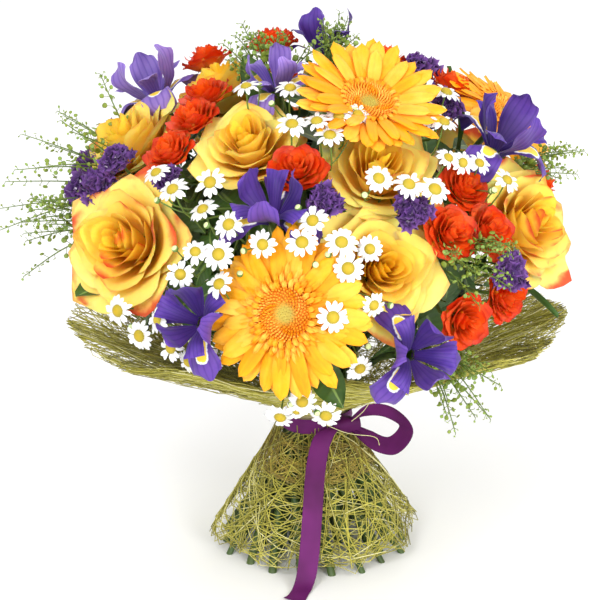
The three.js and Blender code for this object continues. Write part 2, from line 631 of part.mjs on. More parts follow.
function stemBars(grow) {
  return stems.flatMap(({ base, facing, tied, waist, foot, knee, radius, cup, cupDepth, seat = 0 }) => {
    const below = foot.clone().lerp(tied, -0.08);
    const lower = bar([below, tied], [radius + 0.3, STEM.waist], 3, grow);
    const top = base.clone().addScaledVector(facing, seat - GAP);
    if (!cup) return [lower, bar([waist, top], [STEM.rising, radius], 3, grow)];
    const neck = base.clone().addScaledVector(facing, -cupDepth);
    return [lower, bar([waist, knee, neck, top], [STEM.rising, radius, radius, cup], 3, grow)];
  });
}

const floorBox = solid(new THREE.BoxGeometry(900, 900, 900), new THREE.Matrix4().makeTranslation(0, 0, 450));
const waistCore = bar(
  [V(0, 0, WAIST.low), V(0, 0, WAIST.high)],
  [WAIST.coreRadius, WAIST.coreRadius],
  9,
).simplify(0.01);

// The twine: a ring of two coils round the bundle.
function twine(grow) {
  const { inner, outer, low, high } = TWINE;
  const step = (high - low) / 2;
  const outline = [[inner - grow, low - grow], [outer + grow - 0.5, low - grow]];
  for (let i = 0; i < 2; i++) {
    outline.push([outer + grow, low + step * (i + 0.5)]);
    if (i < 1) outline.push([outer + grow - 0.8, low + step * (i + 1)]);
  }
  outline.push([outer + grow - 0.5, high + grow], [inner - grow, high + grow], [inner - grow, low - grow]);
  const lathe = new THREE.LatheGeometry(outline.map(([r, z]) => new THREE.Vector2(r, z)), 12);
  lathe.rotateX(Math.PI / 2);
  return solid(lathe);
}

// The collar: a fluted cone that is shorter at the front and at the back than at the sides.
function collarPoint(u, v) {
  const angle = u * Math.PI;
  const front = Math.max(0, Math.cos(angle)) ** 2;
  const back = Math.max(0, -Math.cos(angle)) ** 2;
  const rim = COLLAR.rim - 34 * front - 20 * back;
  const flute = 5 * v * v * Math.sin(COLLAR.flutes * angle + 0.6);
  const radius = lerp(COLLAR.neck, rim, v) + 0.4 * flute;
  const z = lerp(COLLAR.neckHeight, COLLAR.rimHeight, power(v, 0.92)) + flute;
  return V(radius * Math.sin(angle), -radius * Math.cos(angle), z);
}

// The skirt: tied flat against the waist, then a fluted bell almost to the surface.
function skirtPoint(u, v) {
  const angle = u * Math.PI;
  const { neck, top, flare, hem, hemHeight, flutes } = SKIRT;
  const down = Math.max(0, (v - 1 / 3) * 1.5);
  const flute = 1 + 0.05 * down * Math.sin(flutes * angle);
  const radius = lerp(neck, hem, down) * flute;
  const z = v < 1 / 3 ? lerp(top, flare, v * 3) : lerp(flare, hemHeight + 2.5 * Math.sin(flutes * angle + 1.2), down);
  return V(radius * Math.sin(angle), -radius * Math.cos(angle), z);
}

// The ribbon: a band round the waist, a knot, one loop at the right and a falling tail.
const KNOT = V(24.2, -26.2, 106);
function strip(points, widthAlong, width) {
  const curve = new THREE.CatmullRomCurve3(points);
  return (u, v) => {
    const t = clamp(v, 0, 1);
    const point = curve.getPoint(t);
    point.addScaledVector(curve.getTangent(t), (v - t) * 60);
    const across = widthAlong(t);
    return point.addScaledVector(across, (u * width) / 2);
  };
}
function ribbonParts(grow) {
  const { width, thickness, band, height, gathered } = RIBBON;
  const bandPlace = (u, v) => {
    const angle = u * Math.PI;
    return V(band * Math.sin(angle), -band * Math.cos(angle), height + (v - 0.5) * gathered);
  };
  const loopPath = [KNOT, V(38, -34, 120), V(55, -40, 121), V(68, -42, 109), V(58, -42, 95), V(42, -36, 97), KNOT];
  const loopWide = (t) => {
    const round = degToRad(lerp(125, -125, t));
    return V(0.45 * Math.cos(round), -0.5, 0.88 * Math.sin(round)).normalize();
  };
  const tailPath = [KNOT, V(8, -36, 102), V(1, -48, 82), V(-2, -66, 50), V(-5, -83, 18), V(-9, -93, 3), V(-16, -112, 0.9)];
  const tailWide = () => V(1, 0.06, 0).normalize();
  return [
    sheet(bandPlace, 18, 1, thickness, { wrap: true, grow }),
    sheet(strip(loopPath, loopWide, width), 1, 9, thickness, { grow }),
    sheet(strip(tailPath, tailWide, width), 1, 8, thickness, { grow }),
    turned([[0, -7], [7.5, -5], [7.5, 5], [0, 7]], 6, plain, {
      grow,
      matrix: new THREE.Matrix4().makeRotationY(Math.PI / 2).setPosition(KNOT),
    }),
  ];
}

const hardware = {
  twine: { color: COLORS.twine, make: (grow) => [twine(grow)] },
  collar: {
    color: COLORS.collar,
    make: (grow) => [sheet(collarPoint, 27, 2, COLLAR.thickness, { wrap: true, grow })],
  },
  skirt: {
    color: COLORS.skirt,
    make: (grow) => [sheet(skirtPoint, 24, 3, SKIRT.thickness, { wrap: true, grow })],
  },
  ribbon: { color: COLORS.ribbon, make: ribbonParts },
};

// Cuts everything to fit without touching: earlier pieces keep their shape, and later
// ones give way by a small gap. Of each piece the largest body stays.
const near = (a, b) => {
  const [p, q] = [a.boundingBox(), b.boundingBox()];
  return [0, 1, 2].every((k) => p.min[k] < q.max[k] + 1 && q.min[k] < p.max[k] + 1);
};
function cut(body, keepouts) {
  const close = keepouts.filter((other) => near(body, other));
  return close.length ? body.subtract(join(close)) : body;
}
function largest(whole) {
  const bodies = whole.decompose();
  bodies.sort((a, b) => b.volume() - a.volume());
  return bodies[0];
}

// Moves every corner of a cut body to a fine grid, so that no edge is shorter than its step.
function onGrid(body) {
  const { vertProperties, triVerts } = body.getMesh();
  const geometry = new THREE.BufferGeometry();
  const spots = vertProperties.map((value) => Math.round(value / GRID) * GRID);
  geometry.setAttribute("position", new THREE.BufferAttribute(spots, 3));
  geometry.setIndex(new THREE.BufferAttribute(new Uint32Array(triVerts), 1));
  try {
    return largest(solid(geometry).simplify(GRID));
  } catch {
    return body;
  }
}

// Cuts back a body where a sliver of it still reaches into an earlier one.
function clearOf(body, earlier) {
  const slivers = earlier
    .filter((other) => near(body, other))
    .flatMap((other) => body.intersect(other).decompose())
    .filter((sliver) => sliver.volume() > 1e-4);
  const notches = slivers.map((sliver) => {
    const spots = sliver.getMesh().vertProperties;
    const points = [];
    for (let i = 0; i < spots.length; i += 3) {
      for (const axis of [0, 1, 2]) {
        for (const side of [-GAP, GAP]) {
          const point = [spots[i], spots[i + 1], spots[i + 2]];
          point[axis] += side;
          points.push(point);
        }
      }
    }
    return wasm.Manifold.hull(points);
  });
  return notches.length ? largest(body.subtract(join(notches))) : body;
}

const finished = [];
const hardKeep = [];
for (const [name, { color, make }] of Object.entries(hardware)) {
  const body = largest(cut(join(make(0)).intersect(floorBox), hardKeep).simplify(0.12));
  finished.push({ name, color, body });
  hardKeep.push(join(make(GAP)));
}

const stemKeep = join(stemBars(GAP));
const stemBody = largest(cut(join([...stemBars(0), waistCore]).intersect(floorBox), hardKeep));
const keep = [...hardKeep, stemKeep];

// Branches come first, then the blooms in the order of the tables.
const fixedKeep = [];
const blooms = nodes.map((node) => ({ name: node.name, body: join(node.soft()) }));
for (const node of nodes) {
  if (node.heads) {
    const random = randomSource(node.name.length * 31 + Math.round(node.hub.x) + 400);
    const taken = [...keep, ...fixedKeep.map((k) => k.body)];
    const routes = node.heads.map((head) => {
      let route = null;
      for (let attempt = 0; attempt < 60; attempt++) {
        const reach = 0.7 + 0.2 * random();
        const shake = Math.min(attempt, 40);
        const knee = onDome(head.az + shake * (random() - 0.5), head.el + shake * (random() - 0.5), reach);
        const tip = head.base.clone().addScaledVector(head.facing, node.sinkIn);
        const start = node.hub;
        route = attempt === 0 ? [start, tip] : [start, knee, tip];
        const probe = bar(route, route.map(() => node.branch), 3, GAP * 2);
        const clear = (other) => !near(probe, other) || probe.intersect(other).volume() < 0.05;
        if (taken.every(clear) && (attempt > 40 || blooms.every((bloom) => bloom.name === node.name || clear(bloom.body)))) break;
      }
      return route;
    });
    node.fixed = (grow) => [
      ...routes.map((route) => bar(route, route.map(() => node.branch), 3, grow)),
      knuckle(node.hub, node.facing, grow),
    ];
  }
  const own = node.fixed(0);
  if (own.length) {
    node.fixedBody = cut(join(own), [...keep, ...fixedKeep.map((k) => k.body)]);
    fixedKeep.push({ name: node.name, body: join(node.fixed(GAP)) });
  }
}

const softKeep = [];
for (const node of nodes) {
  const others = fixedKeep.filter((k) => k.name !== node.name).map((k) => k.body);
  const own = node.soft().map((part) => part.simplify(0.02));
  let body = node.fixedBody;
  if (own.length) {
    const trimmed = cut(join(own), [...keep, ...others, ...softKeep]);
    body = body ? body.add(trimmed) : trimmed;
  }
  finished.push({ name: node.name, color: node.color, body: largest(body.simplify(0.3)) });
  if (own.length) softKeep.push(join(node.shield()));
}

const leafBlades = leafParts.map(([base, tip, facing, size]) => {
  const whole = leafBlade(base, tip, facing, size, {});
  return cut(whole, [...hardKeep, ...fixedKeep.map((k) => k.body), ...softKeep]);
});
const grown = largest(join([stemBody, ...leafBlades]).simplify(0.2));
finished.push({ name: "stems", color: COLORS.stems, body: grown });

const bouquet = new THREE.Group();
const settled = [];
for (const { name, color, body } of finished) {
  const own = onGrid(clearOf(onGrid(body), settled));
  settled.push(own);
  const { vertProperties, triVerts } = own.getMesh();
  const geometry = new THREE.BufferGeometry();
  geometry.setAttribute("position", new THREE.BufferAttribute(new Float32Array(vertProperties), 3));
  geometry.setIndex(new THREE.BufferAttribute(new Uint32Array(triVerts), 1));
  geometry.translate(MIDDLE.x, MIDDLE.y, 0);
  geometry.computeVertexNormals();
  const roughness = name === "ribbon" ? 0.4 : 0.8;
  const material = new THREE.MeshStandardMaterial({ color, roughness, metalness: 0 });
  const mesh = new THREE.Mesh(geometry, material);
  mesh.name = name;
  bouquet.add(mesh);
}
export default bouquet;
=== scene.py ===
"""Dresses a mixed hand-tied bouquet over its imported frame.

Every sub-assembly of the bouquet is a class that makes its own pieces: the blooms, the
branched sprays, the stems, the leaves, the sisal collar and skirt, the twine and the satin
ribbon. Shapes are surfaces of two parameters, worked out as whole arrays. Lengths are in
millimetres while a shape is made, and in metres in Blender.
"""
import logging
import math
from dataclasses import dataclass, field
from enum import Enum
from typing import Callable, ClassVar, Optional, Sequence, Union

import bpy
import mathutils
import numpy as np
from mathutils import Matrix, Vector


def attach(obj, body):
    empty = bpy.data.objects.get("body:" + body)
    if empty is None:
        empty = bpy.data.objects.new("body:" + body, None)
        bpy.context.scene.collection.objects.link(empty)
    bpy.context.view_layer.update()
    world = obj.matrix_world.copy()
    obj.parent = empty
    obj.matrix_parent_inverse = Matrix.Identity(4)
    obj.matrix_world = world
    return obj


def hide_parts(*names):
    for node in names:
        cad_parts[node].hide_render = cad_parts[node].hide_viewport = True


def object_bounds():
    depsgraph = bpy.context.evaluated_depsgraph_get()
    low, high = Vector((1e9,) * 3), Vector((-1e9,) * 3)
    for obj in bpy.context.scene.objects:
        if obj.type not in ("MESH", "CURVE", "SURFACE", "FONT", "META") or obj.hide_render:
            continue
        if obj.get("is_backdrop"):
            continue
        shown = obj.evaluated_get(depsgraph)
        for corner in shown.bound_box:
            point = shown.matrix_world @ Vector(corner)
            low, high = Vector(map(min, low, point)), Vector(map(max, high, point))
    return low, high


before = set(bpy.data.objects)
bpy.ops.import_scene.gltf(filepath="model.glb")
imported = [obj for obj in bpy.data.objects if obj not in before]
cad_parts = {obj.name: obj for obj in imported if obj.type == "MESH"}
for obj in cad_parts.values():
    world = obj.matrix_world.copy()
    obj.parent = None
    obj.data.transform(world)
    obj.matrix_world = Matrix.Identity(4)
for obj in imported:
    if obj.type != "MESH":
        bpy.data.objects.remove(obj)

CAD_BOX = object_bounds()
LOG = logging.getLogger("bouquet")

Array = np.ndarray
Number = Union[float, Array]
Triple = tuple[float, float, float]
Colour = Triple
Stops = Sequence[tuple[float, Colour]]
Object = bpy.types.Object
Material = bpy.types.Material
Palette = dict[str, Material]
Tree = bpy.types.NodeTree
Node = bpy.types.Node
Socket = bpy.types.NodeSocket

MILLIMETRE = 0.001
TURN = 2 * math.pi
GOLDEN_ANGLE = math.pi * (3 - math.sqrt(5))
UP = np.array([0.0, 0.0, 1.0])
ASIDE = np.array([1.0, 0.0, 0.0])

# The dome that the blooms stand on, round the middle stem, as in the part's source.
MIDDLE = np.array([12.4, 9.0, 0.0])
DOME_RADIUS = 190.0
DOME_RISE = 152.0
DOME_HEIGHT = 235.0


# Array helpers


def unit(vectors: Array) -> Array:
    """Scales vectors, whose last axis holds x, y and z, to length one."""
    return vectors / np.maximum(np.linalg.norm(vectors, axis=-1, keepdims=True), 1e-9)


def smooth(value: Number, low: float, high: float) -> Array:
    """A soft step: 0 for a value up to low, 1 from high on, and t * t * (3 - 2t) between them."""
    t = np.clip((value - low) / (high - low), 0.0, 1.0)
    return t * t * (3 - 2 * t)


def blend(first: Number, second: Number, share: Number) -> Number:
    """Goes from first to second as share goes from 0 to 1."""
    return first + (second - first) * share


def stack(x: Number, y: Number, z: Number) -> Array:
    """Joins three coordinates into points, whose last axis holds x, y and z."""
    return np.stack(np.broadcast_arrays(x, y, z), axis=-1)


def polar(radius: Number, angle: Number, height: Number) -> Array:
    """Points at a radius and an angle round the local z axis, and at a height along it."""
    return stack(radius * np.cos(angle), radius * np.sin(angle), height)


def from_front(radius: Number, angle: Number, height: Number) -> Array:
    """Points round the middle stem, where angle 0 faces the viewer."""
    return stack(radius * np.sin(angle), -radius * np.cos(angle), height)


def spoke(out: Number, side: Number, up: Number, turn: Number) -> Array:
    """Points of petals: out along each one's middle line, to the side of that line, and up."""
    return stack(out * np.cos(turn) - side * np.sin(turn), out * np.sin(turn) + side * np.cos(turn), up)


def ring(sides: int) -> Array:
    """Angles round a closed surface, one for each of its columns."""
    return np.linspace(0, TURN, sides, endpoint=False)[None, :]


def levels(rows: int) -> Array:
    """Steps from 0 to 1, one for each row of a surface."""
    return np.linspace(0, 1, rows)[:, None]


def bell(radii: tuple[float, float], heights: tuple[float, float], sides: int, rows: int) -> Array:
    """A bell that opens fast from its narrow foot, as a sine, and then runs up to its rim."""
    t = levels(rows)
    return polar(blend(*radii, np.sin(t * math.pi / 2)), ring(sides), blend(*heights, t))


def parameters(across: int, along: int) -> tuple[Array, Array]:
    """Parameters of a sheet with so many faces: u from -1 to 1 across it, v from 0 to 1 along it."""
    u, v = np.linspace(-1, 1, across + 1), np.linspace(0, 1, along + 1)
    return tuple(np.broadcast_arrays(u[None, None, :], v[None, :, None]))


def each(values: Sequence[float]) -> Array:
    """Spreads one value for each petal over its surface, with shape (count, 1, 1)."""
    return np.asarray(values, dtype=float)[:, None, None]


def vary(draw: np.random.Generator, count: int, low: float, high: float) -> Array:
    """Draws one value for each petal and spreads it over its surface."""
    return each(draw.uniform(low, high, count))


def fan(draw: np.random.Generator, count: int, stray: float) -> Array:
    """Angles of petals round a bloom, each astray by up to that share of the step between two."""
    return each((np.arange(count) + draw.uniform(-stray, stray, count)) * TURN / count)


def side_axes(normals: Array) -> tuple[Array, Array]:
    """Two unit axes square to each of some unit vectors, and to each other."""
    first = unit(np.cross(np.where(np.abs(normals[..., 2:3]) < 0.9, UP, ASIDE), normals))
    return first, np.cross(normals, first)


def scatter(local: Array, centres: Array, normals: Array, turns: Number = 0.0, scales: Number = 1.0) -> Array:
    """Sets a copy of one small surface at each centre, with its z along the normal.

    Args:
        local: Points of the surface, of shape (rows, columns, 3).
        centres: Where the copies stand, of shape (count, 3).
        normals: Which way they face, of shape (count, 3).
        turns: How far each is turned round its normal, in radians.
        scales: How large each is.

    Returns:
        Points of shape (count, rows, columns, 3).
    """
    first, second = side_axes(normals)
    turn = np.broadcast_to(turns, len(centres))[:, None]
    right = first * np.cos(turn) + second * np.sin(turn)
    top = second * np.cos(turn) - first * np.sin(turn)
    basis = np.stack([right, top, normals], axis=1) * np.broadcast_to(scales, len(centres))[:, None, None]
    return np.einsum("rck,nkj->nrcj", local, basis) + centres[:, None, None, :]


def curve(knots: Sequence[Array], count: int) -> Array:
    """A smooth line through knots: each stretch leaves and arrives along its neighbours' chord.

    Args:
        knots: Points of the line, each with any number of leading axes.
        count: How many points to return.

    Returns:
        Points with shape (..., count, 3).
    """
    points = np.stack(np.broadcast_arrays(*knots), axis=-2)
    padded = np.concatenate([points[..., :1, :], points, points[..., -1:, :]], axis=-2)
    place = np.linspace(0, points.shape[-2] - 1 - 1e-6, count)
    start = place.astype(int)
    t = (place - start)[:, None]
    before, here, after, beyond = (padded[..., start + k, :] for k in range(4))
    leave, arrive = (after - before) / 2, (beyond - here) / 2
    return (
        here * (2 * t**3 - 3 * t**2 + 1)
        + leave * (t**3 - 2 * t**2 + t)
        + after * (3 * t**2 - 2 * t**3)
        + arrive * (t**3 - t**2)
    )


def tubes(paths: Array, radii: Number, sides: int) -> Array:
    """Round tubes along lines: a ring of points square to the line at each of its points.

    Args:
        paths: Lines of shape (count, steps, 3).
        radii: Radius, for all or of shape (count, steps).
        sides: Points in each ring.

    Returns:
        Points of shape (count, steps, sides, 3).
    """
    along = unit(np.gradient(paths, axis=1))
    mean = unit(along.mean(axis=1, keepdims=True))
    reference = np.where(np.abs(mean[..., 2:3]) < 0.8, UP, ASIDE)
    first = unit(np.cross(np.broadcast_to(reference, along.shape), along))
    second = np.cross(along, first)
    angle = ring(sides)[None, ..., None]
    circle = first[:, :, None, :] * np.cos(angle) + second[:, :, None, :] * np.sin(angle)
    size = np.broadcast_to(radii, paths.shape[:2])[:, :, None, None]
    return paths[:, :, None, :] + circle * size


# Places on the dome


def outward(azimuth: Number, elevation: Number) -> Array:
    """Unit vectors out of the dome, by degrees round it from the front and above its middle."""
    a, b = np.radians(azimuth), np.radians(elevation)
    return unit(from_front(np.cos(b) / DOME_RADIUS, a, np.sin(b) / DOME_RISE))


def on_dome(azimuth: Number, elevation: Number, reach: Number = 1.0) -> Array:
    """Points of the dome by the same degrees, in millimetres, or inside it where reach is under 1."""
    a, b = np.radians(azimuth), np.radians(elevation)
    return from_front(reach * DOME_RADIUS * np.cos(b), a, DOME_HEIGHT + reach * DOME_RISE * np.sin(b))


@dataclass(frozen=True)
class Spot:
    """Where a bloom stands and which way it looks.

    Args:
        azimuth: Degrees round the dome, where 0 faces the viewer.
        elevation: Degrees above the dome's middle height.
        reach: 1 on the dome's surface.
        lean: How far it is raised towards the sky, from 0 to 1.
        roll: Degrees that it is turned round its own axis.
        size: Size against the kind's usual one.
        turn: Degrees that it looks away to one side from its place.
        nod: Degrees that it looks higher than its place.
    """

    azimuth: float
    elevation: float
    reach: float = 1.0
    lean: float = 0.0
    roll: float = 0.0
    size: float = 1.0
    turn: float = 0.0
    nod: float = 0.0


@dataclass(frozen=True)
class Seat:
    """The frame of one bloom: an origin at its base, and z the way it faces.

    Args:
        origin: The base, in millimetres.
        basis: Rows are the local x, y and z axes.
        size: Size against the kind's usual one.
    """

    origin: Array
    basis: Array
    size: float

    @classmethod
    def of(cls, spot: Spot, sink: float) -> "Seat":
        """Finds the frame of a bloom.

        Args:
            spot: Where it stands.
            sink: How far its base lies below the dome, in millimetres.

        Returns:
            The frame.
        """
        looking = outward(spot.azimuth + spot.turn, spot.elevation + spot.nod)
        facing = unit(blend(looking, UP, spot.lean))
        right = unit(np.cross(UP, facing))
        top = np.cross(facing, right)
        roll = math.radians(spot.roll)
        x = right * math.cos(roll) + top * math.sin(roll)
        y = top * math.cos(roll) - right * math.sin(roll)
        origin = on_dome(spot.azimuth, spot.elevation, spot.reach) - facing * sink
        return cls(origin, np.stack([x, y, facing]), spot.size)

    @property
    def facing(self) -> Array:
        """The way the bloom faces."""
        return self.basis[2]

    def place(self, local: Array) -> Array:
        """Takes points from the bloom's own frame to its place in the bouquet, at its size."""
        return (local * self.size) @ self.basis + self.origin


# Meshes


def add_object(name: str, data: bpy.types.ID) -> Object:
    """Puts new data into the scene as an object.

    Args:
        name: Name of the object.
        data: Its mesh, lamp or camera.

    Returns:
        The object.
    """
    made = bpy.data.objects.new(name, data)
    bpy.context.scene.collection.objects.link(made)
    return made


@dataclass
class Shape:
    """Surfaces that become one mesh, with values that its materials read."""

    points: list[Array] = field(default_factory=list)
    faces: list[Array] = field(default_factory=list)
    slots: list[Array] = field(default_factory=list)
    values: list[Array] = field(default_factory=list)
    count: int = 0

    VALUES = ("u", "v", "tone", "depth", "part")

    def add(self, surface: Array, slot: int = 0, wrap: bool = False, **values: Number) -> "Shape":
        """Adds grids of points, one for each petal, strand or floret.

        Args:
            surface: Points of shape (..., rows, columns, 3).
            slot: Index of the material.
            wrap: Whether the last column meets the first.
            **values: Values for the materials, each spread over the points, and 0 if not given.

        Returns:
            This shape.
        """
        rows, columns = surface.shape[-3:-1]
        grids = surface.reshape(-1, rows, columns, 3)
        index = np.arange(rows * columns).reshape(rows, columns)
        loop = np.concatenate([index, index[:, :1]], axis=1) if wrap else index
        corners = [loop[:-1, :-1], loop[:-1, 1:], loop[1:, 1:], loop[1:, :-1]]
        starts = self.count + np.arange(len(grids)) * rows * columns
        faces = (np.stack(corners, axis=-1).reshape(1, -1, 4) + starts[:, None, None]).reshape(-1, 4)
        given = [np.broadcast_to(values.get(name, 0.0), grids.shape[:-1]).reshape(-1) for name in self.VALUES]
        self.points.append(grids.reshape(-1, 3))
        self.faces.append(faces)
        self.slots.append(np.full(len(faces), slot))
        self.values.append(np.stack(given))
        self.count += len(grids) * rows * columns
        return self

    def build(self, name: str, materials: Sequence[Material]) -> Object:
        """Makes the Blender object, with its mesh round the object's own origin at 0.

        Args:
            name: Name of the object.
            materials: One for each slot.

        Returns:
            The object, linked to the scene.
        """
        points = (np.concatenate(self.points) + MIDDLE) * MILLIMETRE
        faces = np.concatenate(self.faces).astype(np.int32)
        mesh = bpy.data.meshes.new(name)
        mesh.vertices.add(len(points))
        mesh.vertices.foreach_set("co", points.astype(np.float32).ravel())
        mesh.loops.add(faces.size)
        mesh.loops.foreach_set("vertex_index", faces.ravel())
        mesh.polygons.add(len(faces))
        mesh.polygons.foreach_set("loop_start", np.arange(0, faces.size, 4, dtype=np.int32))
        mesh.polygons.foreach_set("material_index", np.concatenate(self.slots).astype(np.int32))
        mesh.polygons.foreach_set("use_smooth", np.ones(len(faces), dtype=bool))
        values = np.concatenate(self.values, axis=1).astype(np.float32)
        for row, label in zip(values, self.VALUES):
            mesh.attributes.new(label, "FLOAT", "POINT").data.foreach_set("value", row)
        mesh.update(calc_edges=True)
        for material in materials:
            mesh.materials.append(material)
        return add_object(name, mesh)


# Materials


class Graph:
    """Builds the nodes of one material or group in few words.

    Args:
        tree: The node tree to fill.
    """

    def __init__(self, tree: Tree) -> None:
        """Takes the tree to fill."""
        self.tree = tree

    def link(self, source: Socket, target: Socket) -> None:
        """Feeds one socket into another."""
        self.tree.links.new(source, target)

    def node(self, kind: str, inputs: Optional[dict] = None, **settings: object) -> Node:
        """Adds a node.

        Args:
            kind: The node's type.
            inputs: Values or sockets for its inputs, by name or index.
            **settings: Its own settings.

        Returns:
            The node.
        """
        made = self.tree.nodes.new(kind)
        for key, setting in settings.items():
            setattr(made, key, setting)
        for key, value in (inputs or {}).items():
            if isinstance(value, Socket):
                self.link(value, made.inputs[key])
            elif isinstance(value, tuple) and made.inputs[key].type == "RGBA":
                made.inputs[key].default_value = (*value, 1.0)
            else:
                made.inputs[key].default_value = value
        return made

    def group(self, tree: Tree, **inputs: object) -> Node:
        """Adds a shared group, with its inputs by name."""
        return self.node("ShaderNodeGroup", inputs, node_tree=tree)

    def value(self, name: str) -> Socket:
        """Reads one of the mesh's own values by its name."""
        return self.node("ShaderNodeAttribute", attribute_name=name).outputs["Fac"]

    def math(self, operation: str, *values: object) -> Socket:
        """Adds a plain formula of numbers or sockets, such as their sum."""
        return self.node("ShaderNodeMath", dict(enumerate(values)), operation=operation).outputs[0]

    def less(self, value: Socket) -> Socket:
        """What is left of 1 after a value is taken away."""
        return self.math("SUBTRACT", 1.0, value)

    def step(self, value: Socket, low: float, high: float) -> Socket:
        """A soft step of a value, from 0 at low to 1 at high."""
        inputs = {"Value": value, "From Min": low, "From Max": high}
        return self.node("ShaderNodeMapRange", inputs, interpolation_type="SMOOTHSTEP").outputs["Result"]

    def mix(self, share: object, first: object, second: object, how: str = "MIX") -> Socket:
        """Mixes two colours by the share of the second one."""
        inputs = {"Factor": share, 6: first, 7: second}
        return self.node("ShaderNodeMix", inputs, data_type="RGBA", blend_type=how).outputs[2]

    def ramp(self, value: Socket, stops: Stops) -> Socket:
        """Colours along a value.

        Args:
            value: The value.
            stops: Places from 0 to 1 with their colours.

        Returns:
            The colour's socket.
        """
        made = self.node("ShaderNodeValToRGB", {"Fac": value})
        elements = made.color_ramp.elements
        while len(elements) < len(stops):
            elements.new(0.5)
        for element, (place, colour) in zip(elements, stops):
            element.position = place
            element.color = (*colour, 1.0)
        return made.outputs["Color"]

    def noise(self, scale: float, detail: float = 2.0, stretch: Triple = (1, 1, 1)) -> Socket:
        """Random clouds in the object's own space.

        Args:
            scale: How fine they are, for each metre.
            detail: How many finer layers they have.
            stretch: Factor of each axis.

        Returns:
            Their socket, about 0 to 1.
        """
        place = self.node("ShaderNodeTexCoord").outputs["Object"]
        scaled = self.node("ShaderNodeVectorMath", {0: place, 1: stretch}, operation="MULTIPLY").outputs[0]
        inputs = {"Vector": scaled, "Scale": scale, "Detail": detail}
        return self.node("ShaderNodeTexNoise", inputs).outputs["Fac"]


def new_group(name: str, inputs: dict[str, str], outputs: dict[str, str]) -> tuple[Graph, Node, Node]:
    """Starts a shared node group.

    Args:
        name: Name of the group.
        inputs: Names of its inputs, with the type of each socket.
        outputs: The same for its outputs.

    Returns:
        The graph inside it, its input node and its output node.
    """
    tree = bpy.data.node_groups.new(name, "ShaderNodeTree")
    for way, sockets in (("INPUT", inputs), ("OUTPUT", outputs)):
        for label, kind in sockets.items():
            tree.interface.new_socket(name=label, in_out=way, socket_type="NodeSocket" + kind)
    graph = Graph(tree)
    return graph, graph.node("NodeGroupInput"), graph.node("NodeGroupOutput")


def veins_group() -> Tree:
    """Fine veins that run along a petal or leaf: waves across it, bent by soft noise.

    Returns:
        The group, with a height and a soft line mask.
    """
    inputs = dict.fromkeys(("Across", "Along", "Lines", "Fan"), "Float")
    graph, start, end = new_group("veins", inputs, {"Height": "Float", "Lines": "Float"})
    across, along, lines, fanned = (start.outputs[name] for name in inputs)
    bend = graph.math("MULTIPLY", graph.noise(60, 3), 1.2)
    spread = graph.math("ADD", graph.math("MULTIPLY", across, lines), bend)
    angle = graph.math("ADD", spread, graph.math("MULTIPLY", along, fanned))
    height = graph.math("MULTIPLY_ADD", graph.math("SINE", angle), 0.5, 0.5)
    graph.link(height, end.inputs["Height"])
    graph.link(graph.math("POWER", height, 5.0), end.inputs["Lines"])
    return graph.tree


def variation_group() -> Tree:
    """Small differences between petals, and soft patches inside each.

    Returns:
        The group, which changes a colour by the petal's tone and by noise.
    """
    inputs = {"Color": "Color", "Tone": "Float", "Amount": "Float"}
    graph, start, end = new_group("variation", inputs, {"Color": "Color"})
    patches = graph.math("SUBTRACT", graph.noise(90, 4), 0.5)
    tone = graph.math("SUBTRACT", start.outputs["Tone"], 0.5)
    both = graph.math("ADD", tone, graph.math("MULTIPLY", patches, 1.2))
    change = graph.math("MULTIPLY", both, start.outputs["Amount"])
    changed = {
        "Hue": graph.math("MULTIPLY_ADD", change, 0.045, 0.5),
        "Saturation": graph.math("MULTIPLY_ADD", change, -0.25, 1.0),
        "Value": graph.math("MULTIPLY_ADD", change, 0.55, 1.0),
        "Color": start.outputs["Color"],
    }
    graph.link(graph.node("ShaderNodeHueSaturation", changed).outputs[0], end.inputs["Color"])
    return graph.tree


VEINS = veins_group()
VARIATION = variation_group()


@dataclass(frozen=True)
class Gloss:
    """How a surface shines.

    Args:
        roughness: Roughness of the surface.
        sheen: Soft sheen of fine hairs or threads.
        subsurface: Share of light that spreads inside.
        specular: Strength of reflections, where 0.5 is usual.
    """

    roughness: float = 0.6
    sheen: float = 0.0
    subsurface: float = 0.0
    specular: float = 0.5


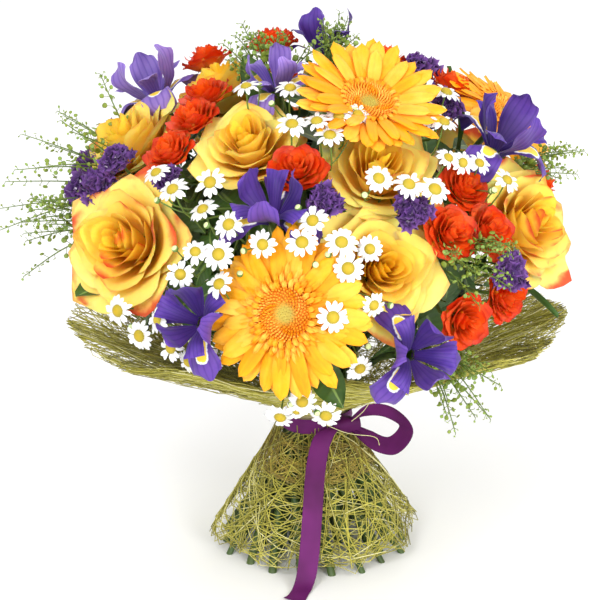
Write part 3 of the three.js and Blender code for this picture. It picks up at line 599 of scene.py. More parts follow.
class Finish:
    """A material in the making: a graph with its surface shader.

    Args:
        name: Name of the material.
        gloss: How the surface shines.
    """

    SPREAD_COLOURS = (1.0, 0.55, 0.15)
    SPREAD_DEPTH = 0.008

    def __init__(self, name: str, gloss: Gloss) -> None:
        """Makes the material with its shader."""
        self.material = bpy.data.materials.new(name)
        self.material.use_nodes = True
        self.graph = Graph(self.material.node_tree)
        self.shader = self.material.node_tree.nodes["Principled BSDF"]
        self.set("Roughness", gloss.roughness)
        self.set("Sheen Weight", gloss.sheen)
        self.set("Specular IOR Level", gloss.specular)
        if gloss.subsurface:
            self.set("Subsurface Weight", gloss.subsurface)
            self.set("Subsurface Radius", self.SPREAD_COLOURS)
            self.set("Subsurface Scale", self.SPREAD_DEPTH)

    def set(self, name: str, value: object) -> None:
        """Sets one of the shader's own sockets."""
        self.shader.inputs[name].default_value = value

    def colour(self, socket: Socket, tone: float = 0.0) -> None:
        """Sets the surface's colour.

        Args:
            socket: The colour.
            tone: How much it varies between petals and inside them.
        """
        if tone:
            own = self.graph.value("tone")
            socket = self.graph.group(VARIATION, Color=socket, Tone=own, Amount=tone).outputs["Color"]
        self.graph.link(socket, self.shader.inputs["Base Color"])

    def bump(self, height: Socket, distance: float, strength: float) -> None:
        """Adds relief from a height of 0 to 1, with its full height in metres and how strong it is."""
        inputs = {"Height": height, "Distance": distance, "Strength": strength}
        self.graph.link(self.graph.node("ShaderNodeBump", inputs).outputs[0], self.shader.inputs["Normal"])

    def veins(self, lines: float, fanned: float = 0.0) -> dict[str, Socket]:
        """Adds the shared veins: how many there are, in waves of 2 pi, and how much they slant."""
        across, along = self.graph.value("u"), self.graph.value("v")
        return self.graph.group(VEINS, Across=across, Along=along, Lines=lines, Fan=fanned).outputs


@dataclass(frozen=True)
class RosePetal:
    """Petals of a rose: the heart is deeper than the outer petals, and rims are blushed in places.

    Args:
        name: Name of the material.
        heart: Colour of the innermost petals.
        outer: Colour of the outermost ones.
        base: Colour low on each petal, deep in the cup. For the yellow roses it is a darker orange, partly
            their own colour and partly painted shade in the creases.
        edge: Colour of the blushed rim.
        blush: How far in from the rim the blush reaches.
        spared: Value of soft noise below which a rim has no blush.
    """

    name: str
    heart: Colour
    outer: Colour
    base: Colour
    edge: Colour
    blush: float = 0.1
    spared: float = 0.55

    GLOSS = Gloss(0.55, subsurface=0.75, specular=0.3)

    def material(self) -> Material:
        """Makes the material.

        Returns:
            The material.
        """
        finish = Finish(self.name, self.GLOSS)
        graph = finish.graph
        depth, along, across = (graph.value(name) for name in ("depth", "v", "u"))
        body = graph.mix(graph.step(depth, 0.05, 0.9), self.heart, self.outer)
        # Low on each petal the colour turns to base. For the yellow roses that darker orange is partly their
        # own colour and partly painted shade in the creases of the cup.
        low = graph.less(graph.step(along, 0.35, 0.92))
        body = graph.mix(graph.math("MULTIPLY", low, 0.65), body, self.base)
        rim = graph.math("MAXIMUM", along, graph.math("MULTIPLY", graph.math("ABSOLUTE", across), 0.97))
        ragged = graph.math("MULTIPLY", graph.math("SUBTRACT", graph.noise(110, 4), 0.5), 0.2)
        place = graph.math("ADD", rim, ragged)
        deep = graph.math("MULTIPLY_ADD", depth, 0.22, -0.26)
        own = graph.math("MULTIPLY_ADD", graph.value("tone"), 0.24, deep)
        chosen = graph.step(graph.math("ADD", graph.noise(34, 1), own), self.spared, self.spared + 0.07)
        near = graph.step(place, 1.0 - self.blush, 1.0)
        mask = graph.math("MULTIPLY", near, graph.math("MULTIPLY", chosen, 0.93))
        thin = graph.math("MULTIPLY", graph.step(place, 0.975, 1.03), 0.4)
        body = graph.mix(graph.math("MAXIMUM", mask, thin), body, self.edge)
        finish.colour(body, 0.12)
        finish.bump(finish.veins(22.0)["Height"], 0.0002, 0.25)
        return finish.material


class Part(Enum):
    """Parts of a bloom that a material tells apart by the part value."""

    RAY = 0.0
    COLLARET = 0.35
    FLORET = 0.7
    CENTRE = 1.0


@dataclass(frozen=True)
class PartedBloom:
    """Blooms whose parts differ in colour: rays, collaret, disc florets and centre.

    Args:
        name: Name of the material.
        colours: Colour of each part.
        tip: Colour that rays take towards their tips.
        lines: How many veins run along each ray.
        gloss: How the bloom shines.
    """

    name: str
    colours: dict[Part, Colour]
    tip: Colour
    lines: float = 9.0
    gloss: Gloss = Gloss(0.6, subsurface=0.15, specular=0.3)

    GROOVE = (0.82, 0.7, 0.6)

    def material(self) -> Material:
        """Makes the material.

        Returns:
            The material.
        """
        finish = Finish(self.name, self.gloss)
        graph = finish.graph
        part, along = graph.value("part"), graph.value("v")
        body = graph.ramp(part, sorted((kind.value, colour) for kind, colour in self.colours.items()))
        is_ray = graph.less(graph.step(part, 0.0, 0.2))
        body = graph.mix(graph.math("MULTIPLY", is_ray, graph.step(along, 0.3, 1.0)), body, self.tip)
        veins = finish.veins(self.lines)
        dark = graph.mix(1.0, body, self.GROOVE, "MULTIPLY")
        body = graph.mix(graph.math("MULTIPLY", veins["Lines"], 0.3), body, dark)
        finish.colour(body, 0.3)
        finish.bump(veins["Height"], 0.0005, 0.45)
        return finish.material


@dataclass(frozen=True)
class IrisPetal:
    """Petals of an iris: veined violet, with a yellow mark edged white on the falls.

    Args:
        name: Name of the material.
        body: Colour of the petals.
        edge: Colour towards their rims.
        mark: Colour of the mark.
        rim: Colour round the mark.
    """

    name: str
    body: Colour
    edge: Colour
    mark: Colour = (0.95, 0.62, 0.04)
    rim: Colour = (0.88, 0.87, 0.9)

    GLOSS = Gloss(0.55, sheen=0.08, subsurface=0.08, specular=0.3)
    VEIN = (0.5, 0.45, 0.7)

    def material(self) -> Material:
        """Makes the material.

        Returns:
            The material.
        """
        finish = Finish(self.name, self.GLOSS)
        graph = finish.graph
        along, depth = graph.value("v"), graph.value("depth")
        veins = finish.veins(16.0, 2.0)
        body = graph.mix(graph.step(along, 0.2, 1.0), self.body, self.edge)
        dark = graph.mix(1.0, body, self.VEIN, "MULTIPLY")
        body = graph.mix(graph.math("MULTIPLY", veins["Lines"], 0.7), body, dark)
        ragged = graph.math("MULTIPLY_ADD", graph.noise(260, 3), 0.35, -0.175)
        place = graph.math("ADD", depth, ragged)
        body = graph.mix(graph.step(place, 0.32, 0.46), body, self.rim)
        body = graph.mix(graph.step(place, 0.5, 0.6), body, self.mark)
        finish.colour(body, 0.4)
        finish.bump(veins["Height"], 0.0003, 0.4)
        return finish.material


@dataclass(frozen=True)
class Leafy:
    """Leaves, pods and stems: a green with a paler rib and fine veins.

    Args:
        name: Name of the material.
        dark: Darker green.
        light: Lighter green.
        rib: Colour of the rib and of cut ends.
        lines: How many side veins there are.
    """

    name: str
    dark: Colour
    light: Colour
    rib: Colour
    lines: float = 10.0

    GLOSS = Gloss(0.5, subsurface=0.05)

    def material(self) -> Material:
        """Makes the material.

        Returns:
            The material.
        """
        finish = Finish(self.name, self.GLOSS)
        graph = finish.graph
        across, along = graph.math("ABSOLUTE", graph.value("u")), graph.value("v")
        slant = graph.math("MULTIPLY_ADD", across, -5.0, 0.0)
        angle = graph.math("ADD", graph.math("MULTIPLY", along, self.lines * 6.28), slant)
        side = graph.math("MULTIPLY_ADD", graph.math("SINE", angle), 0.5, 0.5)
        body = graph.mix(graph.noise(70, 4), self.dark, self.light)
        body = graph.mix(graph.math("MULTIPLY", graph.math("POWER", side, 6.0), 0.35), body, self.light)
        leaf = graph.step(graph.value("depth"), 0.4, 0.6)
        middle = graph.less(graph.step(across, 0.02, 0.14))
        body = graph.mix(graph.math("MULTIPLY", middle, leaf), body, self.rib)
        body = graph.mix(graph.step(graph.value("part"), 0.4, 0.6), body, self.rib)
        finish.colour(body, 0.55)
        finish.bump(graph.mix(leaf, graph.noise(500, 3, (1, 1, 0.15)), side), 0.0004, 0.4)
        return finish.material


@dataclass(frozen=True)
class Fibre:
    """Loose natural fibre: each strand has a tone of its own.

    Args:
        name: Name of the material.
        stops: Colours from the darkest strand to the lightest one.
    """

    name: str
    stops: Stops

    GLOSS = Gloss(0.7, sheen=0.1)

    def material(self) -> Material:
        """Makes the material.

        Returns:
            The material.
        """
        finish = Finish(self.name, self.GLOSS)
        graph = finish.graph
        stray = graph.math("MULTIPLY_ADD", graph.noise(45, 3), 0.4, -0.2)
        finish.colour(graph.ramp(graph.math("ADD", graph.value("tone"), stray), self.stops))
        finish.bump(graph.noise(2500, 2), 0.0001, 0.5)
        return finish.material


@dataclass(frozen=True)
class Satin:
    """Woven satin: fine threads across the ribbon, with a soft sheen.

    Args:
        name: Name of the material.
        body: Colour of the ribbon.
        shade: Painted shade, a darker colour laid in soft noise patches and along both edges.
        sheen: Colour of its sheen.
    """

    name: str
    body: Colour
    shade: Colour
    sheen: Colour

    GLOSS = Gloss(0.55, sheen=0.04, specular=0.15)
    WARP = 2400.0
    WEFT = 130.0

    def material(self) -> Material:
        """Makes the material.

        Returns:
            The material.
        """
        finish = Finish(self.name, self.GLOSS)
        graph = finish.graph
        finish.set("Anisotropic", 0.5)
        finish.set("Sheen Tint", (*self.sheen, 1.0))
        along, across = graph.value("v"), graph.value("u")
        warp = graph.math("SINE", graph.math("MULTIPLY", along, self.WARP))
        weft = graph.math("SINE", graph.math("MULTIPLY", across, self.WEFT))
        weave = graph.math("MULTIPLY_ADD", graph.math("ADD", warp, weft), 0.25, 0.5)
        # Painted shade: where soft noise is low, the ribbon takes the darker shade colour in patches.
        body = graph.mix(graph.step(graph.noise(35, 2), 0.3, 0.75), self.shade, self.body)
        # Painted shade along both edges of the ribbon, at half strength.
        edge = graph.step(graph.math("ABSOLUTE", across), 0.9, 0.97)
        finish.colour(graph.mix(graph.math("MULTIPLY", edge, 0.5), body, self.shade))
        finish.bump(weave, 0.00006, 0.5)
        return finish.material


# Yellow rose colours. The base, low on each petal, is partly the roses' own deeper orange and partly painted
# shade in the creases of the cup.
YELLOW = {"heart": (1.0, 0.64, 0.045), "outer": (1.0, 0.77, 0.19), "base": (1.0, 0.41, 0.01)}

# Finishes by name. A kind of bloom has the one of its own name.
FINISHES = {
    "rose": RosePetal("rose_petals", **YELLOW, edge=(0.85, 0.2, 0.05), blush=0.15, spared=0.64),
    "blushed_rose": RosePetal(
        "rose_petals_blushed", **YELLOW, edge=(0.72, 0.05, 0.02), blush=0.18, spared=0.5
    ),
    "spray_rose": RosePetal(
        "spray_rose_petals",
        heart=(0.9, 0.13, 0.01),
        outer=(0.78, 0.06, 0.006),
        base=(0.92, 0.19, 0.015),
        edge=(0.62, 0.025, 0.004),
        blush=0.2,
        spared=0.45,
    ),
    "gerbera": PartedBloom(
        "gerbera_petals",
        {
            Part.RAY: (0.97, 0.34, 0.006),
            Part.COLLARET: (0.96, 0.34, 0.01),
            Part.FLORET: (0.96, 0.4, 0.04),
            Part.CENTRE: (0.52, 0.42, 0.08),
        },
        tip=(0.97, 0.4, 0.009),
        lines=6.0,
    ),
    "iris": IrisPetal("iris_petals", (0.05, 0.016, 0.17), (0.095, 0.036, 0.29)),
    "pale_iris": IrisPetal("iris_petals_pale", (0.15, 0.08, 0.36), (0.27, 0.17, 0.52)),
    "statice": PartedBloom(
        "statice_petals",
        {Part.RAY: (0.055, 0.012, 0.12), Part.CENTRE: (0.75, 0.68, 0.82)},
        tip=(0.17, 0.06, 0.3),
        lines=14.0,
        gloss=Gloss(0.75, sheen=0.1),
    ),
    "chamomile": PartedBloom(
        "chamomile_petals",
        {Part.RAY: (0.82, 0.82, 0.79), Part.FLORET: (0.52, 0.36, 0.008), Part.CENTRE: (0.33, 0.27, 0.008)},
        tip=(0.86, 0.86, 0.85),
        lines=5.0,
        gloss=Gloss(0.6, subsurface=0.1),
    ),
    "pod": Leafy("pods", (0.12, 0.19, 0.02), (0.28, 0.4, 0.06), (0.4, 0.45, 0.12), 2.0),
    "stalk": Leafy("stalks", (0.06, 0.12, 0.015), (0.17, 0.26, 0.04), (0.55, 0.62, 0.28)),
    "stem": Leafy("stems", (0.02, 0.045, 0.006), (0.08, 0.14, 0.02), (0.3, 0.38, 0.16)),
    "leaf": Leafy("leaves", (0.02, 0.06, 0.008), (0.07, 0.16, 0.02), (0.2, 0.32, 0.07), 9.0),
    "sisal": Fibre(
        "sisal",
        (
            (0.0, (0.18, 0.16, 0.012)),
            (0.4, (0.42, 0.38, 0.04)),
            (0.8, (0.55, 0.5, 0.08)),
            (1.0, (0.78, 0.74, 0.38)),
        ),
    ),
    "golden": Fibre("golden_sisal", ((0.0, (0.16, 0.11, 0.01)), (1.0, (0.5, 0.38, 0.05)))),
    "twine": Fibre("twine", ((0.0, (0.3, 0.24, 0.1)), (1.0, (0.62, 0.52, 0.3)))),
    # The satin's second colour is painted shade, laid in patches and along the ribbon's edges.
    "satin": Satin("satin", (0.13, 0.012, 0.12), (0.075, 0.007, 0.065), (0.75, 0.3, 0.7)),
}


# Sub-assemblies


@dataclass(frozen=True)
class StemEnd:
    """The upper end of a stem.

    Args:
        base: Where it ends.
        facing: The way it arrives.
        radius: Radius of the stem there.
        rank: Its elevation, which says how near the middle of the tied waist it goes.
    """

    base: Array
    facing: Array
    radius: float
    rank: float


def dress(piece: Object, slot: str, *nodes: str) -> None:
    """Ties a piece to the frame and reports it.

    Args:
        piece: The piece.
        slot: Not used.
        *nodes: CAD nodes that it stands for.
    """
    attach(piece, "root")
    if nodes:
        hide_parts(*nodes)
    faces = len(piece.data.polygons)
    LOG.info("%s: %d faces, stands for %s", piece.name, faces, ", ".join(nodes) or "no node")


@dataclass
class Flower:
    """What grows on a stem of its own: a bloom, a spray or a clump.

    Args:
        name: Name of the CAD node.
    """

    name: str

    KIND = ""
    FORM = ""

    @property
    def petals(self) -> str:
        """Name of the palette's finish for its petals."""
        return self.KIND

    def stem(self) -> StemEnd:
        """The upper end of its stem."""
        raise NotImplementedError

    def grow(self, shape: Shape, seed: int) -> None:
        """Adds its petals in slot 0 and its green parts in slot 1.

        Args:
            shape: The shape to add them to.
            seed: Seed of its small differences.
        """
        raise NotImplementedError

    def build(self, palette: Palette, seed: int) -> None:
        """Makes it as one piece.

        Args:
            palette: The materials.
            seed: Seed of its small differences.
        """
        shape = Shape()
        self.grow(shape, seed)
        materials = [palette[self.petals], palette["stalk"]]
        dress(shape.build(self.name + self.FORM, materials), self.KIND, self.name)


@dataclass
class Bloom(Flower):
    """A single bloom.

    Args:
        spot: Where it stands.
    """

    spot: Spot

    FORM = "_bloom"
    SINK = 0.0
    NECK = 0.0
    STEM_RADIUS = 2.5

    @property
    def seat(self) -> Seat:
        """The frame of the bloom, whose base lies as deep below the dome as its size says."""
        return Seat.of(self.spot, self.SINK * self.spot.size)

    def stem(self) -> StemEnd:
        """The upper end of its stem, a neck's length above the bloom's base."""
        base, facing = self.seat.origin + self.seat.facing * self.NECK, self.seat.facing
        return StemEnd(base, facing, self.STEM_RADIUS, self.spot.elevation)


@dataclass(frozen=True)
class Layer:
    """One layer of rose petals.

    Args:
        count: Number of petals.
        radius: Radius where they stand up.
        height: Height of their rims.
        width: Half of the angle that each spans, in radians.
        openness: 1 for the outermost layer and 0 for the heart.
    """

    count: int
    radius: float
    height: float
    width: float
    openness: float


ROSE_LAYERS = (
    Layer(5, 43.0, 28.5, 0.84, 1.0),
    Layer(4, 36.5, 33.5, 1.04, 0.84),
    Layer(4, 29.0, 38.5, 1.06, 0.66),
    Layer(4, 22.0, 42.5, 1.06, 0.5),
    Layer(3, 16.0, 45.3, 1.35, 0.35),
    Layer(3, 10.8, 47.0, 1.35, 0.22),
    Layer(3, 6.8, 47.5, 1.45, 0.12),
    Layer(2, 3.5, 46.5, 2.2, 0.0),
)
SPRAY_LAYERS = (
    Layer(6, 43.0, 30.0, 0.66, 1.0),
    Layer(6, 39.0, 37.0, 0.68, 0.85),
    Layer(6, 32.0, 43.0, 0.68, 0.7),
    Layer(5, 25.0, 47.0, 0.8, 0.55),
    Layer(5, 18.0, 50.0, 0.85, 0.4),
    Layer(4, 11.0, 51.5, 1.1, 0.25),
    Layer(2, 5.0, 50.0, 2.0, 0.05),
)


def rose_petals(
    layers: Sequence[Layer], grid: tuple[int, int], ruffle: float, point: float, seed: int
) -> tuple[Array, dict]:
    """Petals of a rose in its own frame.

    Each petal is a sheet that goes out from the base, stands up as a cup and rolls back at
    its rim. Its radius rises fast and then levels off, its height starts slowly, and the
    rim's corners lie lower than its middle. Where the rim runs out into a point, it rolls
    back most beside the point. One side edge tucks under the next petal.

    Args:
        layers: The layers, from the outermost in.
        grid: Faces across and along each petal.
        ruffle: Height of the waves along the rims, in millimetres.
        point: How far the rims run out into a point, from 0 for round rims to 1.
        seed: Seed of the small differences.

    Returns:
        Points of shape (petals, rows, columns, 3), and the values of the material.
    """
    draw = np.random.default_rng(seed)
    petals = [
        (layer, TURN * (k + 0.5 * index + draw.uniform(-0.06, 0.06)) / layer.count + 0.7 * index)
        for index, layer in enumerate(layers)
        for k in range(layer.count)
    ]
    count = len(petals)
    sizes = ("radius", "height", "width", "openness")
    radius, height, width, openness = (each([getattr(layer, name) for layer, _ in petals]) for name in sizes)
    angle = each([turn for _, turn in petals])
    phase = vary(draw, count, 0, 6.3)
    size = vary(draw, count, 0.93, 1.06)
    tone = vary(draw, count, 0, 1)
    bulge = vary(draw, count, -0.06, 0.06)
    u, v = parameters(*grid)
    top = 1 - 0.27 * np.abs(u) ** 2.1 + 0.1 * point * np.exp(-((u / 0.24) ** 2)) * openness
    t = v * top * size
    sides = 0.75 + 0.55 * np.sin(2.1 * u + phase) ** 2 + 0.5 * np.abs(u) ** 1.5
    curl = smooth(t, 0.62, 1.06) ** 1.35 * sides
    root = 3
    out = root + (radius * (1 + bulge) - root) * (1 - np.clip(1 - t, 0, 1) ** 1.55)
    out = out + curl * (1.0 + 6.5 * openness) + 1.6 * u + 2.0 * openness * np.abs(u) ** 4 * t
    out = out + openness * 1.6 * np.sin(3.1 * u + phase) * t**2
    out = out + point * openness * t**5 * (4.5 * np.exp(-((u / 0.2) ** 2)) - 2.4 * np.abs(u))
    up = height * np.clip(t, 0, 2) ** 1.35 - curl * (0.8 + 7.0 * openness)
    up = up + ruffle * np.sin(6 * u + phase) * t**4 + 0.5 * np.sin(9 * u - 2 * phase) * t**3
    turn = angle + u * width * (0.8 + 0.2 * t)
    return polar(out, turn, up), {"u": u, "v": v * top, "tone": tone, "depth": openness}


@dataclass
class Rose(Bloom):
    """A large rose with its sepals.

    Args:
        blushed: Whether its rims are strongly red.
    """

    blushed: bool = False

    KIND = "rose"
    SINK = 48.0
    NECK = 2.0
    SEPALS = 5

    @property
    def petals(self) -> str:
        """Name of the palette's finish for its petals."""
        return "blushed_rose" if self.blushed else "rose"

    def grow(self, shape: Shape, seed: int) -> None:
        """Adds the petals, and sepals that bend back from a green cup.

        Args:
            shape: The shape to add them to.
            seed: Seed of its small differences.
        """
        seat = self.seat
        petals, values = rose_petals(ROSE_LAYERS, (12, 13), 1.0, 0.8, seed)
        shape.add(seat.place(petals), 0, **values)
        u, v = parameters(4, 6)
        turn = each(np.arange(self.SEPALS) * TURN / self.SEPALS + 0.3)
        half = 5.5 * (1 - v) ** 0.7 + 0.4
        sepals = polar(7 + 22 * v, turn + u * half / (9 + 20 * v), 1.5 + 5 * v - 14 * v**3 + u * u)
        shape.add(seat.place(sepals), 1, u=u, v=v, tone=0.4, depth=1.0)
        shape.add(seat.place(bell((2.5, 8.5), (-4, 6), 12, 6)), 1, wrap=True, tone=0.5)


@dataclass(frozen=True)
class RayRow:
    """One row of a gerbera's rays.

    Args:
        count: Number of rays.
        root: Radius of their roots, in millimetres.
        tip: Radius of their tips.
        width: Half of their width.
        height: Height of their roots.
        rise: How far they rise.
    """

    count: int
    root: float
    tip: float
    width: float
    height: float
    rise: float


@dataclass
class Gerbera(Bloom):
    """A gerbera: rows of long rays, a collaret of short ones and a disc of florets.

    Args:
        cup: How far its rays rise towards their tips, in millimetres.
    """

    cup: float = 0.0

    KIND = "gerbera"
    SINK = 7.5
    NECK = 0.5
    RADIUS = 54.0
    RAYS = (
        RayRow(21, 9.0, RADIUS, 5.9, 7.0, 1.2),
        RayRow(20, 9.0, RADIUS * 0.96, 5.6, 9.0, 1.6),
        RayRow(15, 9.0, RADIUS * 0.84, 4.8, 10.8, 1.2),
    )
    COLLARET = (
        RayRow(34, 17.0, 31.0, 2.0, 11.2, 1.2),
        RayRow(31, 15.5, 26.5, 2.0, 11.2, 2.6),
        RayRow(28, 14.0, 22.5, 2.0, 11.2, 4.0),
    )
    FLORETS = 330
    DISC = 19.0

    @property
    def seat(self) -> Seat:
        """The frame of the gerbera, whose base lies equally deep at any size."""
        return Seat.of(self.spot, self.SINK)

    def rays(self, row: RayRow, seed: int) -> tuple[Array, dict]:
        """One row of rays: long grooved sheets that widen, droop outwards and end round.

        Args:
            row: The row.
            seed: Seed of their small differences.

        Returns:
            Points of shape (count, rows, columns, 3), and the values of the material.
        """
        draw = np.random.default_rng(seed)
        count = row.count
        u, v = parameters(6, 12)
        length = vary(draw, count, 0.9, 1.04)
        tilt = vary(draw, count, -3, 2)
        twist = vary(draw, count, -0.22, 0.22)
        tone = vary(draw, count, 0, 1)
        turn = fan(draw, count, 0.24)
        half = row.width * (0.42 + 0.58 * smooth(v, 0.0, 0.55)) * np.sqrt(1 - v**7 + 1e-6)
        out = blend(row.root, row.tip * length, v)
        side = half * u * vary(draw, count, 0.86, 1.12) + 2.2 * v * v * vary(draw, count, -1, 1)
        up = row.height + row.rise * v + self.cup * v**1.5 + 2.6 * np.sin(math.pi * v) + (tilt - 1.5) * v * v
        up = up + 0.4 * np.cos(2.5 * math.pi * u) * (1 - 0.4 * v) - 1.1 * u * u * v - side * twist
        return spoke(out, side, up, turn), {"u": u, "v": v, "tone": tone, "part": Part.RAY.value}

    def fringe(self, row: RayRow, draw: np.random.Generator) -> tuple[Array, dict]:
        """One row of the collaret: short rays that arch, widen and end round.

        Args:
            row: The row.
            draw: Source of their small differences.

        Returns:
            Points of shape (count, rows, columns, 3), and the values of the material.
        """
        u, v = parameters(4, 5)
        turn = fan(draw, row.count, 0.25)
        half = row.width * (0.5 + 0.5 * v) * np.sqrt(1 - v**6 + 1e-6)
        out = row.root + (row.tip - row.root) * v * vary(draw, row.count, 0.8, 1.12)
        out = out - 1.2 * (1 - np.abs(u)) * smooth(v, 0.85, 1)
        up = row.height + row.rise * np.sin(v * 2.2) + 0.5 * u * u + 1.2 * np.sin(v * math.pi)
        points = polar(out, turn + u * half / np.maximum(out, row.root), up)
        return points, {"u": u, "v": v, "tone": vary(draw, row.count, 0, 1), "part": Part.COLLARET.value}

    def disc(self, draw: np.random.Generator) -> tuple[Array, dict]:
        """The disc: pegs along a spiral, larger and more astray outside its hollow middle.

        Args:
            draw: Source of their small differences.

        Returns:
            Points of shape (count, rows, columns, 3), and the values of the material.
        """
        number = np.arange(self.FLORETS)
        far = self.DISC * np.sqrt((number + 0.5) / self.FLORETS)
        turn = number * GOLDEN_ANGLE
        outer = smooth(far, 5.5, 8.5)
        centres = polar(far, turn, 13.0 + 1.8 * outer - 1.2 * smooth(far, 13.0, self.DISC))
        level = levels(4)
        peg = polar(np.array([0.6, 0.45, 0.62, 0.05])[:, None], ring(4), level * 3.4 - 1.4)
        ways = np.concatenate([centres[:, :2] * 0.03, np.ones((self.FLORETS, 1))], axis=1)
        normals = unit(ways + draw.normal(0, 0.18, (self.FLORETS, 3)) * outer[:, None])
        florets = scatter(peg, centres, normals, turn, blend(0.62, 1.15, outer))
        part = blend(Part.CENTRE.value, Part.FLORET.value, outer[:, None, None])
        return florets, {"tone": (number % 7 / 7)[:, None, None], "part": part, "v": level}

    def grow(self, shape: Shape, seed: int) -> None:
        """Adds the rays, the collaret, the disc with the bed under it, and the green cup.

        Args:
            shape: The shape to add them to.
            seed: Seed of its small differences.
        """
        seat = self.seat
        draw = np.random.default_rng(seed)
        for row in self.RAYS:
            points, values = self.rays(row, seed + row.count)
            shape.add(seat.place(points), 0, **values)
        for row in self.COLLARET:
            points, values = self.fringe(row, draw)
            shape.add(seat.place(points), 0, **values)
        florets, values = self.disc(draw)
        shape.add(seat.place(florets), 0, wrap=True, **values)
        angle, t = ring(24), levels(6)
        bed = polar((self.DISC + 1) * (1 - t), angle, 12.0 + 0.8 * t)
        part = blend(Part.FLORET.value, Part.CENTRE.value, smooth(t, 0.55, 0.75))
        shape.add(seat.place(bed), 0, wrap=True, tone=0.2, part=part)
        under = polar(blend(3, 17, t**0.8), angle, blend(0.6, 8.5, t))
        shape.add(seat.place(under), 1, wrap=True, tone=0.4)


@dataclass
class Iris(Bloom):
    """An iris: three arched falls, three upright standards and three style arms.

    Args:
        pale: Whether it is a lighter lilac.
    """

    pale: bool = False

    KIND = "iris"
    SINK = 0.62 * 52.0

    @property
    def petals(self) -> str:
        """Name of the palette's finish for its petals."""
        return "pale_iris" if self.pale else "iris"

    def grow(self, shape: Shape, seed: int) -> None:
        """Adds the petals, the tube below them and its two sheaths.

        Falls rise from the throat on a narrow haft and droop as a broad blade. Standards
        bow out and back in while they rise. Style arms arch over the hafts and end in two
        raised crests. Falls and standards are waved along their side edges.

        Args:
            shape: The shape to add them to.
            seed: Seed of its small differences.
        """
        draw = np.random.default_rng(seed)
        seat = self.seat
        turn = each(np.arange(3) / 3 * TURN + 0.5)
        phase, tone = vary(draw, 3, 0, 6.3), vary(draw, 3, 0.2, 0.8)
        u, v = parameters(12, 16)
        wave = np.sin(10 * v + phase + 4 * u) * np.abs(u) ** 1.6 * smooth(v, 0.3, 0.75)
        half = 3.4 + 34 * v * v * (1.22 - v) - 5 * smooth(v, 0.85, 1.0)
        out = 3.5 + 38.5 * v - 5 * smooth(v, 0.8, 1) * u * u
        up = 12.5 + 52 * v - 52 * v * v - 3.5 * u * u * v + 3.8 * wave
        mark = np.exp(-((u * half / 5.4) ** 2) - ((v - 0.47) / 0.25) ** 4)
        falls = seat.place(spoke(out, half * u, up, turn))
        shape.add(falls, 0, u=u, v=v, tone=tone, depth=mark)
        half = 1.6 + 9.8 * np.sin(np.clip(v, 0, 1) * 2.55) * (1 - 0.35 * smooth(v, 0.8, 1.0))
        wave = np.sin(9 * v + phase + 2 * u) * u * smooth(v, 0.15, 0.5)
        out = 4 + 16 * np.sin(v * 2.1) + 2.5 * u * u * np.sin(math.pi * v) + 2.4 * wave
        up = 17 + 40 * v - 4 * smooth(v, 0.8, 1) * u * u
        standards = seat.place(spoke(out, half * u, up, turn + math.pi / 3))
        shape.add(standards, 0, u=u, v=v, tone=tone, depth=0.0)
        half = 3.0 + 5.5 * v
        up = 19 + 19 * np.sin(v * 2.0) - 3.2 * u * u + 4.5 * smooth(v, 0.75, 1.0) * np.abs(u)
        arms = seat.place(spoke(3 + 25 * v, half * u, up, turn))
        shape.add(arms, 0, u=u, v=0.9 * v, tone=tone * 0.6)
        shape.add(seat.place(bell((2.6, 4.6), (-6, 19), 10, 8)), 1, wrap=True, tone=0.5)
        u, v = parameters(4, 8)
        half = 4.6 * np.sin(math.pi * (0.22 + 0.76 * v)) ** 0.8
        sheaths = polar(4.6 + 1.5 * v, each([0.2, 3.3]) + u * half / 5, -14 + 30 * v)
        shape.add(seat.place(sheaths), 1, u=u, v=v, tone=0.6, depth=1.0)


